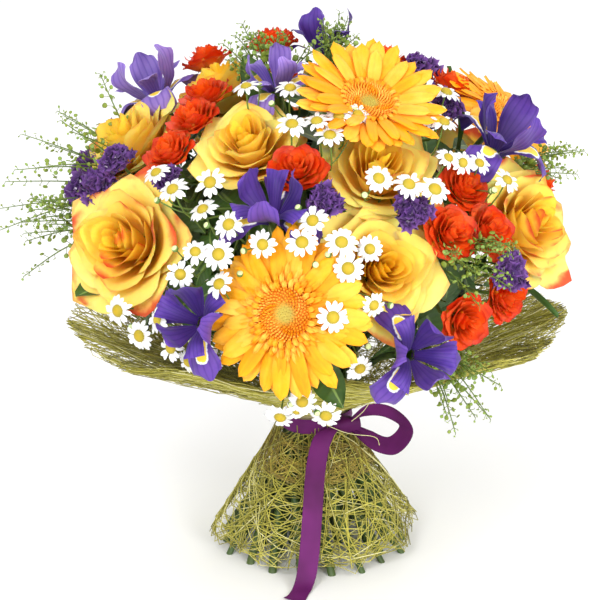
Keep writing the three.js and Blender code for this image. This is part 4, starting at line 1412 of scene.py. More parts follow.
@dataclass
class Spray(Flower):
    """A branched spray: branches part from the end of its stem and rise to its heads.

    Args:
        reach: How far out the heads stand.
        heads: Azimuth, elevation and size of each head.
        extras: The same for the heads that the frame leaves out.
    """

    reach: float
    heads: tuple[Triple, ...]
    extras: tuple[Triple, ...] = ()

    FORM = "_spray"
    LEAN = 0.05
    SINK = 0.0
    BRANCH = 1.0
    TILT = 0.0
    HUB_REACH = 0.6
    STEM_RADIUS = 1.9
    STEPS = 14

    def seats(self) -> list[Seat]:
        """The frames of the heads.

        Returns:
            A frame for each head.
        """
        draw = np.random.default_rng(len(self.name) + int(90 * self.reach))
        found = []
        for index, (az, el, size) in enumerate((*self.heads, *self.extras)):
            is_extra = index >= len(self.heads)
            tilt = self.TILT * (2.2 if is_extra else 1.0)
            turn, nod = draw.uniform(-tilt, tilt, 2)
            reach = self.reach - (0.02 * (index % 3) if is_extra else 0.0)
            spot = Spot(az, el, reach, self.LEAN, 47.0 * index, size, turn, nod)
            found.append(Seat.of(spot, self.SINK * size))
        return found

    @property
    def hub(self) -> tuple[Array, Array]:
        """The end of the main stem, and the way it arrives there from the tied waist."""
        centre = np.mean([on_dome(az, el, self.HUB_REACH) for az, el, _ in self.heads], axis=0)
        return centre, unit(centre - np.array([0.0, 0.0, 150.0]))

    def stem(self) -> StemEnd:
        """The end of its stem, where the branches part."""
        centre, facing = self.hub
        return StemEnd(centre, facing, self.STEM_RADIUS, self.heads[0][1])

    def branches(self, shape: Shape) -> None:
        """Adds the branches: each bows out from the hub and arrives square to its head.

        Args:
            shape: The shape to add them to.
        """
        centre, facing = self.hub
        start = centre - facing * 4
        radii = np.linspace(self.BRANCH * 1.25, self.BRANCH * 0.85, self.STEPS)[None]
        along = np.linspace(0, 1, self.STEPS)[None, :, None]
        for seat in self.seats():
            distance = np.linalg.norm(seat.origin - start)
            bow = start + facing * distance * 0.3
            under = seat.origin - seat.facing * distance * 0.35
            path = curve([start, bow, under, seat.origin + seat.facing], self.STEPS)[None]
            shape.add(tubes(path, radii, 6), 1, wrap=True, tone=0.5, v=along)

    def head(self, shape: Shape, seat: Seat, seed: int) -> None:
        """Adds one head, with its petals in slot 0 and its green parts in slot 1.

        Args:
            shape: The shape to add it to.
            seat: Its frame.
            seed: Seed of its small differences.
        """
        raise NotImplementedError

    def grow(self, shape: Shape, seed: int) -> None:
        """Adds all heads and branches.

        Args:
            shape: The shape to add them to.
            seed: Seed of its small differences.
        """
        for index, seat in enumerate(self.seats()):
            self.head(shape, seat, seed * 10 + index)
        self.branches(shape)


@dataclass
class SprayRose(Spray):
    """Small ruffled roses."""

    KIND = "spray_rose"
    SINK = 25.0
    BRANCH = 1.5
    SMALLER = 0.5
    SEPALS = 5

    def head(self, shape: Shape, seat: Seat, seed: int) -> None:
        """Adds one small rose, half the size of a large one, with its sepals and cup.

        Args:
            shape: The shape to add it to.
            seat: Its frame.
            seed: Seed of its small differences.
        """
        petals, values = rose_petals(SPRAY_LAYERS, (8, 9), 2.6, 0.0, seed)
        shape.add(seat.place(petals * self.SMALLER), 0, **values)
        u, v = parameters(2, 4)
        turn = each(np.arange(self.SEPALS) * TURN / self.SEPALS)
        half = 3.4 * (1 - v) ** 0.7 + 0.3
        sepals = polar(4 + 9 * v, turn + u * half / (5 + 9 * v), 1 + 7 * v - 6 * v**3)
        shape.add(seat.place(sepals), 1, u=u, v=v, tone=0.5, depth=1.0)
        shape.add(seat.place(bell((1.2, 5), (-3, 3), 8, 4)), 1, wrap=True, tone=0.5)


@dataclass
class Statice(Spray):
    """Domes of small papery funnels."""

    KIND = "statice"
    SINK = 12.0
    BRANCH = 1.2
    FUNNELS = 70
    DOME = (14.0, 14.0, 10.5)
    WITHOUT_FLOWER = 0.965

    def head(self, shape: Shape, seat: Seat, seed: int) -> None:
        """Adds one head: pleated funnels spread evenly over a dome, some with a pale flower.

        Args:
            shape: The shape to add it to.
            seat: Its frame.
            seed: Seed of its small differences.
        """
        draw = np.random.default_rng(seed)
        count = self.FUNNELS
        number = np.arange(count) + 0.5
        rise = 1 - 1.3 * number / count
        turn = number * GOLDEN_ANGLE
        flat = np.sqrt(1 - rise**2)
        normals = polar(flat, turn, rise)
        lobes = 0.86 + 0.24 * np.sin(3 * turn + seed) * flat
        depth = (draw.uniform(0.68, 1.06, count) * lobes)[:, None]
        centres = normals * np.array(self.DOME) * depth + np.array([0, 0, 6.0])
        angle, t = ring(10), levels(4)
        pleats = 1 + 0.3 * np.cos(5 * angle) * t
        edge = -4.0 + 5.5 * t - 0.8 * t**3 + 0.9 * np.sin(3 * angle) * t
        funnel = polar((0.4 + 3.7 * t**0.9) * pleats, angle, edge)
        lean = unit(normals + draw.uniform(-0.75, 0.75, (count, 3)))
        scales = draw.uniform(0.8, 1.2, count)
        calyx = scatter(funnel, centres, lean, draw.uniform(0, 6, count), scales)
        tone = vary(draw, count, 0, 1)
        shape.add(seat.place(calyx), 0, wrap=True, v=t, tone=tone, part=Part.RAY.value)
        some = draw.uniform(0, 1, count) > self.WITHOUT_FLOWER
        star = polar(1.2 * t, angle, 0.3 + 0.6 * t) * (1 + 0.2 * np.cos(5 * angle))[..., None]
        white = scatter(star, centres[some], lean[some])
        shape.add(seat.place(white), 0, wrap=True, tone=0.6, part=Part.CENTRE.value)
        core = polar(9.5 * np.sin(t * 2.2), angle, 16 - 13 * t)
        shape.add(seat.place(core), 0, wrap=True, part=Part.RAY.value)


@dataclass
class Chamomile(Spray):
    """White blossoms with yellow domed discs."""

    KIND = "chamomile"
    LEAN = 0.12
    SINK = 2.0
    BRANCH = 0.7
    TILT = 11.0
    DISC = 4.5
    TIP = 11.6

    def head(self, shape: Shape, seat: Seat, seed: int) -> None:
        """Adds one blossom: rays that droop a little round a bumpy dome, on a green cup.

        Args:
            shape: The shape to add it to.
            seat: Its frame.
            seed: Seed of its small differences.
        """
        draw = np.random.default_rng(seed)
        count = int(draw.integers(12, 16))
        u, v = parameters(4, 6)
        turn = fan(draw, count, 0.3)
        length = vary(draw, count, 0.82, 1.06)
        half = 1.75 * (0.55 + 0.45 * smooth(v, 0, 0.5)) * np.sqrt(1 - v**6 + 1e-6)
        out = blend(3.2, self.TIP, v * length)
        droop = vary(draw, count, -3.4, 0.8)
        up = 0.6 + 0.9 * np.sin(math.pi * v) + droop * v * v + 0.2 * np.cos(2 * math.pi * u) - 0.3 * u * u
        rays = seat.place(spoke(out, half * u, up, turn))
        shape.add(rays, 0, u=u, v=v, tone=vary(draw, count, 0.2, 0.8), part=Part.RAY.value)
        angle, t = ring(24), levels(9)
        bumps = 0.3 * np.sin(angle * 12 + 9 * t) * np.sin(t * 25)
        rise = 0.4 + (3.4 + bumps) * np.sin(t * math.pi / 2)
        dome = polar((self.DISC + bumps) * np.cos(t * math.pi / 2), angle, rise)
        part = blend(Part.FLORET.value, Part.CENTRE.value, 1 - t)
        shape.add(seat.place(dome), 0, wrap=True, tone=0.5, part=part)
        shape.add(seat.place(bell((0.9, 4.8), (-2.5, 0.4), 8, 9)), 1, wrap=True, tone=0.5)

    def branches(self, shape: Shape) -> None:
        """Adds the branches, and small closed buds on side stalks of every other one.

        Args:
            shape: The shape to add them to.
        """
        super().branches(shape)
        draw = np.random.default_rng(int(self.reach * 100) + len(self.heads))
        t = levels(7)
        ball = polar(2.5 * np.sin(math.pi * t) ** 0.8, ring(8), 2.2 * (1 - np.cos(math.pi * t)))
        for seat in self.seats()[::2]:
            aside = unit(seat.basis[0] * draw.uniform(-1, 1) + seat.basis[1] * draw.uniform(-1, 1))
            bud = seat.origin + aside * draw.uniform(12, 20) - seat.facing * draw.uniform(2, 9)
            way = unit(seat.facing + 0.5 * aside)
            root = seat.origin - seat.facing * 26
            stalk = curve([root, blend(root, bud, 0.5) - seat.facing * 3, bud], 8)[None]
            shape.add(tubes(stalk, 0.5, 5), 1, wrap=True, tone=0.7)
            shape.add(scatter(ball, bud[None], way[None]), 1, wrap=True, tone=0.9, part=smooth(t, 0.55, 0.8))


@dataclass
class Pennycress(Flower):
    """A clump of pennycress: thin arched stalks set with flat round pods.

    Args:
        spot: Where its main stalk ends, and how far it leans.
        spread: Degrees between its side stalks.
        sprigs: How many side stalks the frame has.
    """

    spot: Spot
    spread: float
    sprigs: int

    KIND = "pennycress"
    FORM = "_clump"
    HUB_REACH = 0.62
    STEM_RADIUS = 1.9
    STEPS = 22
    PODS = 21
    BARE = 8

    @property
    def petals(self) -> str:
        """Name of the palette's finish for its pods."""
        return "pod"

    def ends(self) -> tuple[Array, Array, Array]:
        """Where the main stalk starts and ends.

        Returns:
            The start, the way it goes, and the end.
        """
        spot = self.spot
        start = on_dome(spot.azimuth, spot.elevation, self.HUB_REACH)
        facing = unit(blend(outward(spot.azimuth, spot.elevation), UP, spot.lean))
        end = on_dome(spot.azimuth, spot.elevation, spot.reach) + UP * spot.lean * 60
        return start, facing, end

    def stem(self) -> StemEnd:
        """The end of its stem, where the stalks part."""
        start, facing, _ = self.ends()
        return StemEnd(start, facing, self.STEM_RADIUS, self.spot.elevation)

    def stalks(self, draw: np.random.Generator) -> Array:
        """Lines of the stalks: from near the hub to tips spread round the main one's.

        Args:
            draw: Source of their small differences.

        Returns:
            Points of shape (count, steps, 3).
        """
        spot = self.spot
        start, facing, end = self.ends()
        count = 4 + 3 * self.sprigs
        wide = self.spread * (self.sprigs + 1) * 0.5
        az = spot.azimuth + draw.normal(0, 0.42, count) * wide
        el = spot.elevation + draw.normal(0, 0.36, count) * wide
        tips = on_dome(az, el, spot.reach - draw.uniform(0.0, 0.14, count)) + UP * spot.lean * 40
        tips[0] = end
        roots = start + facing * draw.uniform(0, 22, count)[:, None]
        bow = facing * draw.uniform(2, 10, count)[:, None]
        middle = blend(roots, tips, 0.5) + bow + UP * draw.uniform(0, 8, count)[:, None]
        return curve([roots, middle, tips], self.STEPS)

    def pods(self, shape: Shape, paths: Array, draw: np.random.Generator) -> None:
        """Adds the pods: notched discs on short stalks, in a spiral, smaller to the tip.

        Args:
            shape: The shape to add them to.
            paths: Lines of the stalks that they grow on.
            draw: Source of their small differences.
        """
        places = np.linspace(self.BARE, self.STEPS - 1, self.PODS)
        steps = places.astype(int)
        count = len(paths) * self.PODS
        roots = paths[:, steps].reshape(-1, 3)
        way = unit(np.gradient(paths, axis=1))[:, steps].reshape(-1, 3)
        first, second = side_axes(way)
        angle = np.tile(np.arange(self.PODS) * GOLDEN_ANGLE, len(paths)) + draw.uniform(0, 1, count)
        out = first * np.cos(angle)[:, None] + second * np.sin(angle)[:, None]
        growth = np.tile(blend(1.0, 0.4, (places - places[0]) / (places[-1] - places[0])), len(paths))
        growth = growth * draw.uniform(0.7, 1.15, count)
        direction = unit(out + 0.55 * way)
        centres = roots + direction * (6.2 * growth)[:, None]
        stalks = np.stack([roots, blend(roots, centres, 0.5), centres], axis=1)
        shape.add(tubes(stalks, 0.24, 3), 1, wrap=True, tone=0.6)
        turn = ring(9)
        t = levels(5) * math.pi
        notch = 1 - 0.22 * np.exp(-(((turn - math.pi / 2) / 0.45) ** 2))
        pod = polar(2.6 * np.sin(t) * notch, turn, 0.5 * np.cos(t))
        flat = unit(np.cross(direction, out + 0.01) + draw.normal(0, 0.35, direction.shape))
        middles = centres + direction * (2.2 * growth)[:, None]
        pods = scatter(pod, middles, flat, draw.uniform(0, 6, count), growth)
        shape.add(pods, 0, wrap=True, tone=vary(draw, count, 0, 1), u=0.5, v=0.5)

    def grow(self, shape: Shape, seed: int) -> None:
        """Adds the stalks and their pods.

        Args:
            shape: The shape to add them to.
            seed: Seed of its small differences.
        """
        draw = np.random.default_rng(seed)
        paths = self.stalks(draw)
        radii = np.linspace(0.85, 0.3, self.STEPS)[None]
        shape.add(tubes(paths, radii, 5), 1, wrap=True, tone=0.45)
        self.pods(shape, paths, draw)


@dataclass(frozen=True)
class Leaf:
    """A large leaf that grows from a stem and ends in a gap between the blooms.

    Args:
        azimuth: Degrees round the dome.
        elevation: Degrees above its rim.
        turn: Degrees that its tip bends aside.
        size: Factor of its size.
    """

    azimuth: float
    elevation: float
    turn: float
    size: float

    def surface(self, knees: Sequence[Array]) -> tuple[Array, Array, Array]:
        """The blade: arched from the nearest stem, and widest beyond its middle.

        Args:
            knees: Where the stems bend.

        Returns:
            Its points, of shape (1, rows, columns, 3), and its two parameters.
        """
        facing = outward(self.azimuth, self.elevation)
        under = on_dome(self.azimuth, self.elevation, 0.66)
        base = min(knees, key=lambda knee: float(np.linalg.norm(knee - under)))
        right = unit(np.cross(UP, facing))
        turn = math.radians(self.turn)
        bend = right * math.cos(turn) + np.cross(facing, right) * math.sin(turn)
        along = on_dome(self.azimuth, self.elevation, 1.02) + bend * 14 * self.size - base
        side = unit(np.cross(along, facing))
        lift = unit(np.cross(side, along))
        u, v = parameters(8, 16)
        wide = 15 * self.size * np.sin(np.clip(1.7 * v - 0.72, 0, 0.995) * math.pi) ** 0.8
        rise = 9 * np.sin(math.pi * v) + 3 * u * u + 1.2 * u * np.sin(9 * v)
        across = side * (np.maximum(0.9, wide) * u)[..., None]
        return base + along * v[..., None] + lift * rise[..., None] + across, u, v


LEAVES = (
    Leaf(-100, 74, 10, 0.9),
    Leaf(-6, 56, 200, 0.8),
    Leaf(4, -16, -60, 0.8),
    Leaf(112, 53, 40, 0.9),
    Leaf(-62, 4, -80, 1.0),
    Leaf(62, -4, -60, 1.0),
    Leaf(-116, -4, -80, 1.0),
)


@dataclass(frozen=True)
class Ring:
    """One ring of stems in the tied waist.

    Args:
        count: Number of stems.
        waist: Radius at the waist.
        floor: Radius of their cut ends.
    """

    count: int
    waist: float
    floor: float


@dataclass
class Stems:
    """All stems: they spiral through the tied waist to their cut ends.

    Args:
        ends: The upper ends.
    """

    ends: list[StemEnd]

    RINGS = (Ring(1, 0, 0), Ring(6, 5.3, 21), Ring(12, 10.6, 40), Ring(15, 15.9, 56), Ring(24, 20.6, 70))
    BOTTOM = 102.0
    TOP = 115.0
    SIDES = 8
    LOW_STEPS = 9
    HIGH_STEPS = 17
    TIED_STEPS = 5
    TIED_RADIUS = 2.0
    CUT = 0.05

    def routes(self) -> list[tuple[StemEnd, list[Array]]]:
        """Finds each stem's line: the highest blooms go through the middle of the waist.

        Returns:
            Each end with the knots of its stem, from the floor up.
        """
        ranked = sorted(self.ends, key=lambda end: -end.rank)
        found = []
        begin = 0
        for row in self.RINGS:
            own = ranked[begin:begin + row.count]
            begin += row.count
            if not own:
                continue
            wanted = []
            for end in own:
                x, y = end.base[0], end.base[1]
                wanted.append(math.atan2(x, -y) + math.acos(min(1.0, row.waist / math.hypot(x, y))))
            order = sorted(range(len(own)), key=lambda i: wanted[i])
            share = TURN / len(own)
            offset = sum(wanted[i] - k * share for k, i in enumerate(order)) / len(own)
            for k, i in enumerate(order):
                end = own[i]
                turn = offset + k * share
                spread = row.floor * (1 + 0.03 * math.sin(k * 2.7))
                away = turn + (math.acos(row.waist / row.floor) if row.floor else 0.0)
                tied = from_front(row.waist, turn, self.BOTTOM)
                waist = from_front(row.waist, turn, self.TOP)
                foot = from_front(spread, away, 0.0)
                knee = blend(end.base - end.facing * 34, waist, 0.12)
                found.append((end, [foot, tied, waist, knee, end.base]))
        return found

    def one(self, shape: Shape, end: StemEnd, knots: list[Array], tone: float) -> None:
        """Adds one stem: straight to the tie, slim in it, then a bow to its bloom, and its cut face.

        Args:
            shape: The shape to add it to.
            end: Its upper end.
            knots: Knots of its line, from the floor up.
            tone: Its tone.
        """
        foot, tied, waist, knee, base = knots
        low = blend(foot, tied, levels(self.LOW_STEPS))
        high = curve([waist, blend(waist, knee, 0.5), knee, base], self.HIGH_STEPS)
        low_radii = np.linspace(end.radius + 0.8, end.radius, self.LOW_STEPS)
        high_radii = np.linspace(min(end.radius, self.TIED_RADIUS), end.radius, self.HIGH_STEPS)
        high_radii[:self.TIED_STEPS] = np.minimum(high_radii[:self.TIED_STEPS], self.TIED_RADIUS)
        path = np.concatenate([low, high])
        rings = tubes(path[None], np.concatenate([low_radii, high_radii])[None], self.SIDES)
        rings[:, 0, :, 2] = self.CUT
        shape.add(rings, 0, wrap=True, tone=tone)
        rim = rings[0, 0]
        centre = foot + UP * self.CUT
        disc = np.stack([rim, blend(rim, centre, 0.5), np.broadcast_to(centre, rim.shape)])
        shape.add(disc[None], 0, wrap=True, tone=tone, part=1.0)

    def build(self, palette: Palette) -> None:
        """Makes the stems, the core inside their tied waist and the leaves that grow from them.

        Args:
            palette: The materials.
        """
        shape = Shape()
        routes = self.routes()
        for index, (end, knots) in enumerate(routes):
            self.one(shape, end, knots, (index * 0.37) % 1.0)
        radii = np.array([18, 23, 22.5, 22.5, 23, 18.0])[:, None]
        core = polar(radii, ring(self.SIDES), blend(100, 120, levels(6)))
        shape.add(core, 0, wrap=True, tone=0.1)
        knees = [knots[3] for _, knots in routes]
        for index, leaf in enumerate(LEAVES):
            surface, u, v = leaf.surface(knees)
            shape.add(surface, 1, u=u, v=v, tone=0.2 + 0.1 * index, depth=1.0)
        dress(shape.build("stem_bundle", [palette["stem"], palette["leaf"]]), "stems", "stems")


@dataclass
class Foliage:
    """Leaves between the blooms and behind them.

    Args:
        name: Name of the piece.
        count: Number of leaves.
        seed: Seed of their places.
        rise: Sine of the lowest and of the highest leaf's elevation.
        reach: How far out they lie, as shares of the dome's radius.
    """

    name: str
    count: int
    seed: int
    rise: tuple[float, float] = (-0.35, 0.99)
    reach: tuple[float, float] = (0.55, 0.78)

    def build(self, palette: Palette) -> None:
        """Makes the leaves: folded along the rib, arched, with toothed edges, each on a stalk.

        Args:
            palette: The materials.
        """
        draw = np.random.default_rng(self.seed)
        number = np.arange(self.count) + 0.5
        el = np.degrees(np.arcsin(blend(*self.rise, number / self.count)))
        az = np.degrees(number * GOLDEN_ANGLE) + draw.uniform(-8, 8, self.count)
        normal = outward(az, el)
        centre = on_dome(az, el, draw.uniform(*self.reach, self.count))
        first, second = side_axes(normal)
        spin = draw.uniform(0, 6.3, self.count)[:, None]
        lean = normal * draw.uniform(0.0, 0.7, self.count)[:, None]
        tip = unit(first * np.cos(spin) + second * np.sin(spin) + lean)
        side = unit(np.cross(normal, tip))
        face = np.cross(tip, side)
        length = vary(draw, self.count, 34, 52)
        width = vary(draw, self.count, 8, 12.5)
        u, v = parameters(6, 10)
        outline = np.sin(math.pi * np.clip(v, 0.0, 1.0) ** 0.85) ** 0.8 + 0.04
        teeth = 1 + 0.06 * np.sign(np.sin(v * 40)) * np.abs(u) ** 3
        along = (v - 0.35) * length
        across = u * width * outline * teeth
        lift = 5 * np.sin(math.pi * v) + np.abs(u) * width * 0.28 * outline - 9 * v * v
        surface = centre[:, None, None] + tip[:, None, None] * along[..., None]
        surface = surface + side[:, None, None] * across[..., None] + face[:, None, None] * lift[..., None]
        shape = Shape().add(surface, 0, u=u, v=v, tone=vary(draw, self.count, 0, 1), depth=1.0)
        stalks = curve([centre * 0.82 + UP * 30, centre - tip * length[:, 0] * 0.36], 6)
        shape.add(tubes(stalks, 0.8, 4), 1, wrap=True, tone=0.3)
        dress(shape.build(self.name, [palette["leaf"], palette["stalk"]]), "stems")


@dataclass
class Sisal:
    """Loose sisal fibres laid over a surface.

    Args:
        surface: Gives points for u from -1 to 1 round it and v from 0 to 1 down it.
        count: Number of fibres.
        length: Shortest and longest fibre, in millimetres.
        size: Distance round it and down it, in millimetres.
        seed: Seed of the fibres.
        radius: Radius of a fibre.
        fuzz: How far fibres stand off the surface.
        combed: Spread of their directions at the sides, in radians, where they run down it.
        bend: How strongly they curve.
        thin: Where its rim is thin, as its u turned round.
    """

    surface: Callable[[Array, Array], Array]
    count: int
    length: tuple[float, float]
    size: tuple[float, float]
    seed: int
    radius: float
    fuzz: float
    combed: float = 9.0
    bend: float = 1.3
    thin: float = 9.0

    STEPS = 11

    def lay(self, shape: Shape, slot: int) -> None:
        """Adds the fibres: each starts at random, bends evenly and stays off the floor.

        A fibre's heading turns at a steady rate along it. The steps of that heading are
        summed up to u and v, so that it wanders over the surface, and it turns back where
        it would leave the rim.

        Args:
            shape: The shape to add them to.
            slot: Index of their material.
        """
        draw = np.random.default_rng(self.seed)
        length = draw.uniform(*self.length, self.count)[:, None]
        place = draw.uniform(-1, 1, self.count)[:, None]
        side = smooth(np.abs(np.sin(place * math.pi)), 0.35, 0.85)
        loose = blend(1.2, 1.0, side) * self.combed
        heading = math.pi / 2 * side + draw.normal(0, 1, self.count)[:, None] * loose
        bend = draw.normal(0, self.bend, self.count)[:, None]
        direction = heading + bend * np.linspace(-0.5, 0.5, self.STEPS)[None, :]
        move = length / self.STEPS
        across = np.cumsum(np.cos(direction) * move, axis=1)
        down = np.cumsum(np.sin(direction) * move, axis=1)
        start = np.sqrt(draw.uniform(0.0, 1.0, self.count))[:, None]
        near = np.exp(-(((place + self.thin) / 0.14) ** 2))
        start = np.where(draw.uniform(0, 1.1, start.shape) < near, 0.75 * start, start)
        v = start + (down - down.mean(axis=1, keepdims=True)) / self.size[1]
        around = self.size[0] * np.maximum(start, 0.15)
        u = place + (across - across.mean(axis=1, keepdims=True)) * 2 / around
        v = np.where(v > 1.0, 2.0 - v, v)
        path = self.surface(u, np.clip(np.abs(v), 0.0, 1.0))
        off = draw.normal(0, self.fuzz, (self.count, 1, 1))
        off = off + draw.normal(0, self.fuzz * 0.35, (self.count, self.STEPS, 1))
        path = path + off * UP + draw.normal(0, self.fuzz * 0.14, path.shape)
        path[..., 2] = np.maximum(path[..., 2], self.radius + 0.2)
        thick = draw.uniform(0.65, 1.35, self.count)[:, None] * self.radius
        fibres = tubes(path, thick, 3)
        shape.add(fibres, slot, wrap=True, tone=vary(draw, self.count, 0, 1))


@dataclass(frozen=True)
class Collar:
    """The sisal collar: a fluted cone under the blooms.

    Args:
        neck: Radius and height of its neck, in millimetres.
        rim: Radius and height of its rim at the sides.
        front: How much shorter it is at the front.
        back: How much shorter it is at the back.
        flute: Height of the flutes at its rim.
    """

    neck: tuple[float, float] = (26.3, 113.6)
    rim: tuple[float, float] = (187.0, 186.0)
    front: float = 34.0
    back: float = 20.0
    flute: float = 5.0

    def surface(self, u: Array, v: Array) -> Array:
        """The cone: its flutes are nine sine waves round it, which grow towards the rim.

        Args:
            u: From -1 to 1 round it.
            v: From 0 at the neck to 1 at the rim.

        Returns:
            Points of the cone.
        """
        angle = u * math.pi
        facing = np.cos(angle)
        rim = self.rim[0] - self.front * np.maximum(0, facing) ** 2 - self.back * np.maximum(0, -facing) ** 2
        flute = self.flute * v * v * np.sin(9 * angle + 0.6)
        radius = blend(self.neck[0], rim, v) + 0.4 * flute
        return from_front(radius, angle, blend(self.neck[1], self.rim[1], v**0.92) + flute)

    def build(self, palette: Palette) -> None:
        """Makes the collar of crossed fibres that mostly run outwards at the sides.

        Args:
            palette: The materials.
        """
        shape = Shape()
        fibres = Sisal(
            self.surface, 3000, (50, 150), (1050, 175), 11, 0.32, 1.2, combed=0.4, bend=0.5, thin=0.5
        )
        fibres.lay(shape, 0)
        dress(shape.build("collar_fibres", [palette["sisal"]]), "collar", "collar")


@dataclass(frozen=True)
class Skirt:
    """The sisal skirt: flat against the waist, then a fluted bell almost to the surface.

    Args:
        waist: Radius at the waist, in millimetres.
        hem: Radius at the hem.
        top: Height of its upper edge.
        tie: Height where the bell starts.
        low: Height of the hem.
        band: Share of it, from the top, that lies flat.
    """

    waist: float = 26.5
    hem: float = 79.0
    top: float = 111.0
    tie: float = 98.0
    low: float = 9.0
    band: float = 0.12

    THREADS = (
        ((41.0, -54.0, 136.0), (35.0, -54.0, 127.0), (27.0, -50.0, 118.0)),
        ((4.0, -50.0, 117.0), (24.0, -54.0, 110.0), (44.0, -49.0, 105.0), (48.0, -46.0, 97.0)),
    )

    def surface(self, u: Array, v: Array) -> Array:
        """The bell: its flutes are eight sine waves round it, and the hem waves as well.

        Args:
            u: From -1 to 1 round it.
            v: From 0 at its top to 1 at its hem.

        Returns:
            Points of the bell.
        """
        angle = u * math.pi
        down = np.clip((v - self.band) / (1 - self.band), 0, 1)
        radius = blend(self.waist, self.hem, down) * (1 + 0.05 * down * np.sin(8 * angle))
        low = self.low + 2.5 * np.sin(8 * angle + 1.2)
        flat = blend(self.top, self.tie, v / self.band)
        return from_front(radius, angle, np.where(v < self.band, flat, blend(self.tie, low, down)))

    def upper(self, u: Array, v: Array) -> Array:
        """The part of the bell just under the waist, for the same u and v."""
        return self.surface(u, 0.15 + v * 0.3)

    def build(self, palette: Palette) -> None:
        """Makes the skirt: loose fibres, golden ones just under the waist, and loose threads.

        Args:
            palette: The materials.
        """
        shape = Shape()
        Sisal(self.surface, 270, (110, 260), (500, 112), 12, 0.36, 1.0, bend=1.1).lay(shape, 0)
        Sisal(self.upper, 150, (50, 110), (300, 36), 13, 0.32, 0.8, combed=0.5).lay(shape, 1)
        for thread in self.THREADS:
            shape.add(tubes(curve(np.array(thread), 16)[None], 0.28, 4), 0, wrap=True, tone=1.0)
        dress(shape.build("skirt_fibres", [palette["sisal"], palette["golden"]]), "skirt", "skirt")


@dataclass(frozen=True)
class Twine:
    """The twine round the waist, under the ribbon.

    Args:
        radius: Radius of its grooves, in millimetres.
        bottom: Height of its lowest turn.
        top: Height of its highest turn.
        turns: Number of turns.
    """

    radius: float = 24.3
    bottom: float = 103.0
    top: float = 115.0
    turns: int = 6

    def build(self, palette: Palette) -> None:
        """Makes the twine as one band, which bulges over each turn and is finely twisted.

        Args:
            palette: The materials.
        """
        angle, t = ring(40), levels(25)
        bulge = 0.85 * np.abs(np.sin(t * self.turns * math.pi))
        coils = self.radius + bulge + 0.12 * np.sin(angle * 30 + t * 60)
        shape = Shape().add(polar(coils, angle, blend(self.bottom, self.top, t)), 0, wrap=True, tone=0.5)
        dress(shape.build("twine_coils", [palette["twine"]]), "twine", "twine")


@dataclass
class Ribbon:
    """The satin ribbon: a band, a knot, one loop and a falling tail."""

    WIDTH = 15.0
    STEPS = 44
    KNOT = (24.2, -26.2, 106.0)
    LOOP = ((38, -34, 120), (55, -40, 121), (68, -42, 109), (58, -42, 95), (42, -36, 97))
    TAIL = ((8, -36, 102), (1, -48, 82), (-2, -66, 50), (-5, -83, 18), (-9, -93, 3), (-16, -112, 0.9))
    GATHERED = 0.35
    BAND_RADIUS = 28.4
    BAND_BOTTOM = 98.5
    BAND_WIDTH = 12.0
    KNOT_WIDTH = 9.0
    KNOT_RADIUS = 6.4
    SLANT = 5.0
    LOWEST = 0.7

    def strip(self, shape: Shape, knots: Sequence[Triple], across: Array, wave: float, width: Array) -> None:
        """Adds a strip of ribbon along a line, gathered in folds where it enters the knot.

        A strip that doesn't come back to the knot ends in a slanted cut.

        Args:
            shape: The shape to add it to.
            knots: Points of its middle line.
            across: Direction of its width, at each step or for all of them.
            wave: Height of its soft waves, in millimetres.
            width: Its width at each step, against the full width.
        """
        u = np.linspace(-1, 1, 13)[None, :]
        v = levels(self.STEPS)
        line = curve(np.array(knots, dtype=float), self.STEPS)
        across = np.broadcast_to(unit(across), line.shape)
        normal = unit(np.cross(unit(np.gradient(line, axis=0)), across))
        width = width[:, None]
        half = (width * self.WIDTH / 2 * u)[..., None]
        folds = np.sin(u * 7.0) * (1 - width) * 2.2 + wave * np.sin(v * 9 + u * 1.5)
        points = line[:, None] + across[:, None] * half + normal[:, None] * folds[..., None]
        if knots[-1] != self.KNOT:
            points[..., 1] = points[..., 1] - smooth(v, 0.9, 1.0) * u * self.SLANT
            points[..., 2] = np.maximum(points[..., 2], self.LOWEST)
        shape.add(points, 0, u=u, v=v)

    def band(self, shape: Shape) -> None:
        """Adds the band round the waist, softly pleated along it.

        Args:
            shape: The shape to add it to.
        """
        u, v = parameters(40, 6)
        angle = u * math.pi
        radius = self.BAND_RADIUS + 0.35 * np.sin(v * 15 + 2 * np.sin(angle * 2))
        height = self.BAND_BOTTOM + self.BAND_WIDTH * v + 0.8 * np.sin(angle * 3)
        shape.add(from_front(radius, angle, height), 0, u=2 * v - 1, v=u * 0.3)

    def knot(self, shape: Shape) -> None:
        """Adds the knot: a short roll across the band, with folds round it.

        Args:
            shape: The shape to add it to.
        """
        u, v = parameters(12, 16)
        turn = v * 1.9 * math.pi + 0.4
        radius = self.KNOT_RADIUS + 0.7 * np.sin(3 * turn + 2 * u) - 1.5 * u * u
        width = self.KNOT_WIDTH * u * (1 - 0.15 * np.cos(turn))
        roll = stack(width, radius * np.cos(turn), radius * np.sin(turn))
        shape.add(roll + np.array(self.KNOT), 0, u=u, v=v * 0.2)

    def build(self, palette: Palette) -> None:
        """Args:
            palette: The materials.
        """
        shape = Shape()
        self.band(shape)
        t = np.linspace(0, 1, self.STEPS)
        spin = np.radians(blend(125.0, -125.0, t))
        across = np.stack([0.45 * np.cos(spin), np.full(self.STEPS, -0.5), 0.88 * np.sin(spin)], axis=1)
        width = blend(self.GATHERED, 1.0, smooth(np.minimum(t, 1 - t), 0.0, 0.2))
        self.strip(shape, (self.KNOT, *self.LOOP, self.KNOT), across, 0.5, width)
        width = blend(self.GATHERED, 1.0, smooth(t, 0.0, 0.16))
        self.strip(shape, (self.KNOT, *self.TAIL), np.array([1.0, 0.06, 0.0]), 0.4, width)
        self.knot(shape)
        piece = shape.build("satin_ribbon", [palette["satin"]])
        dress(piece, "ribbon", "ribbon")


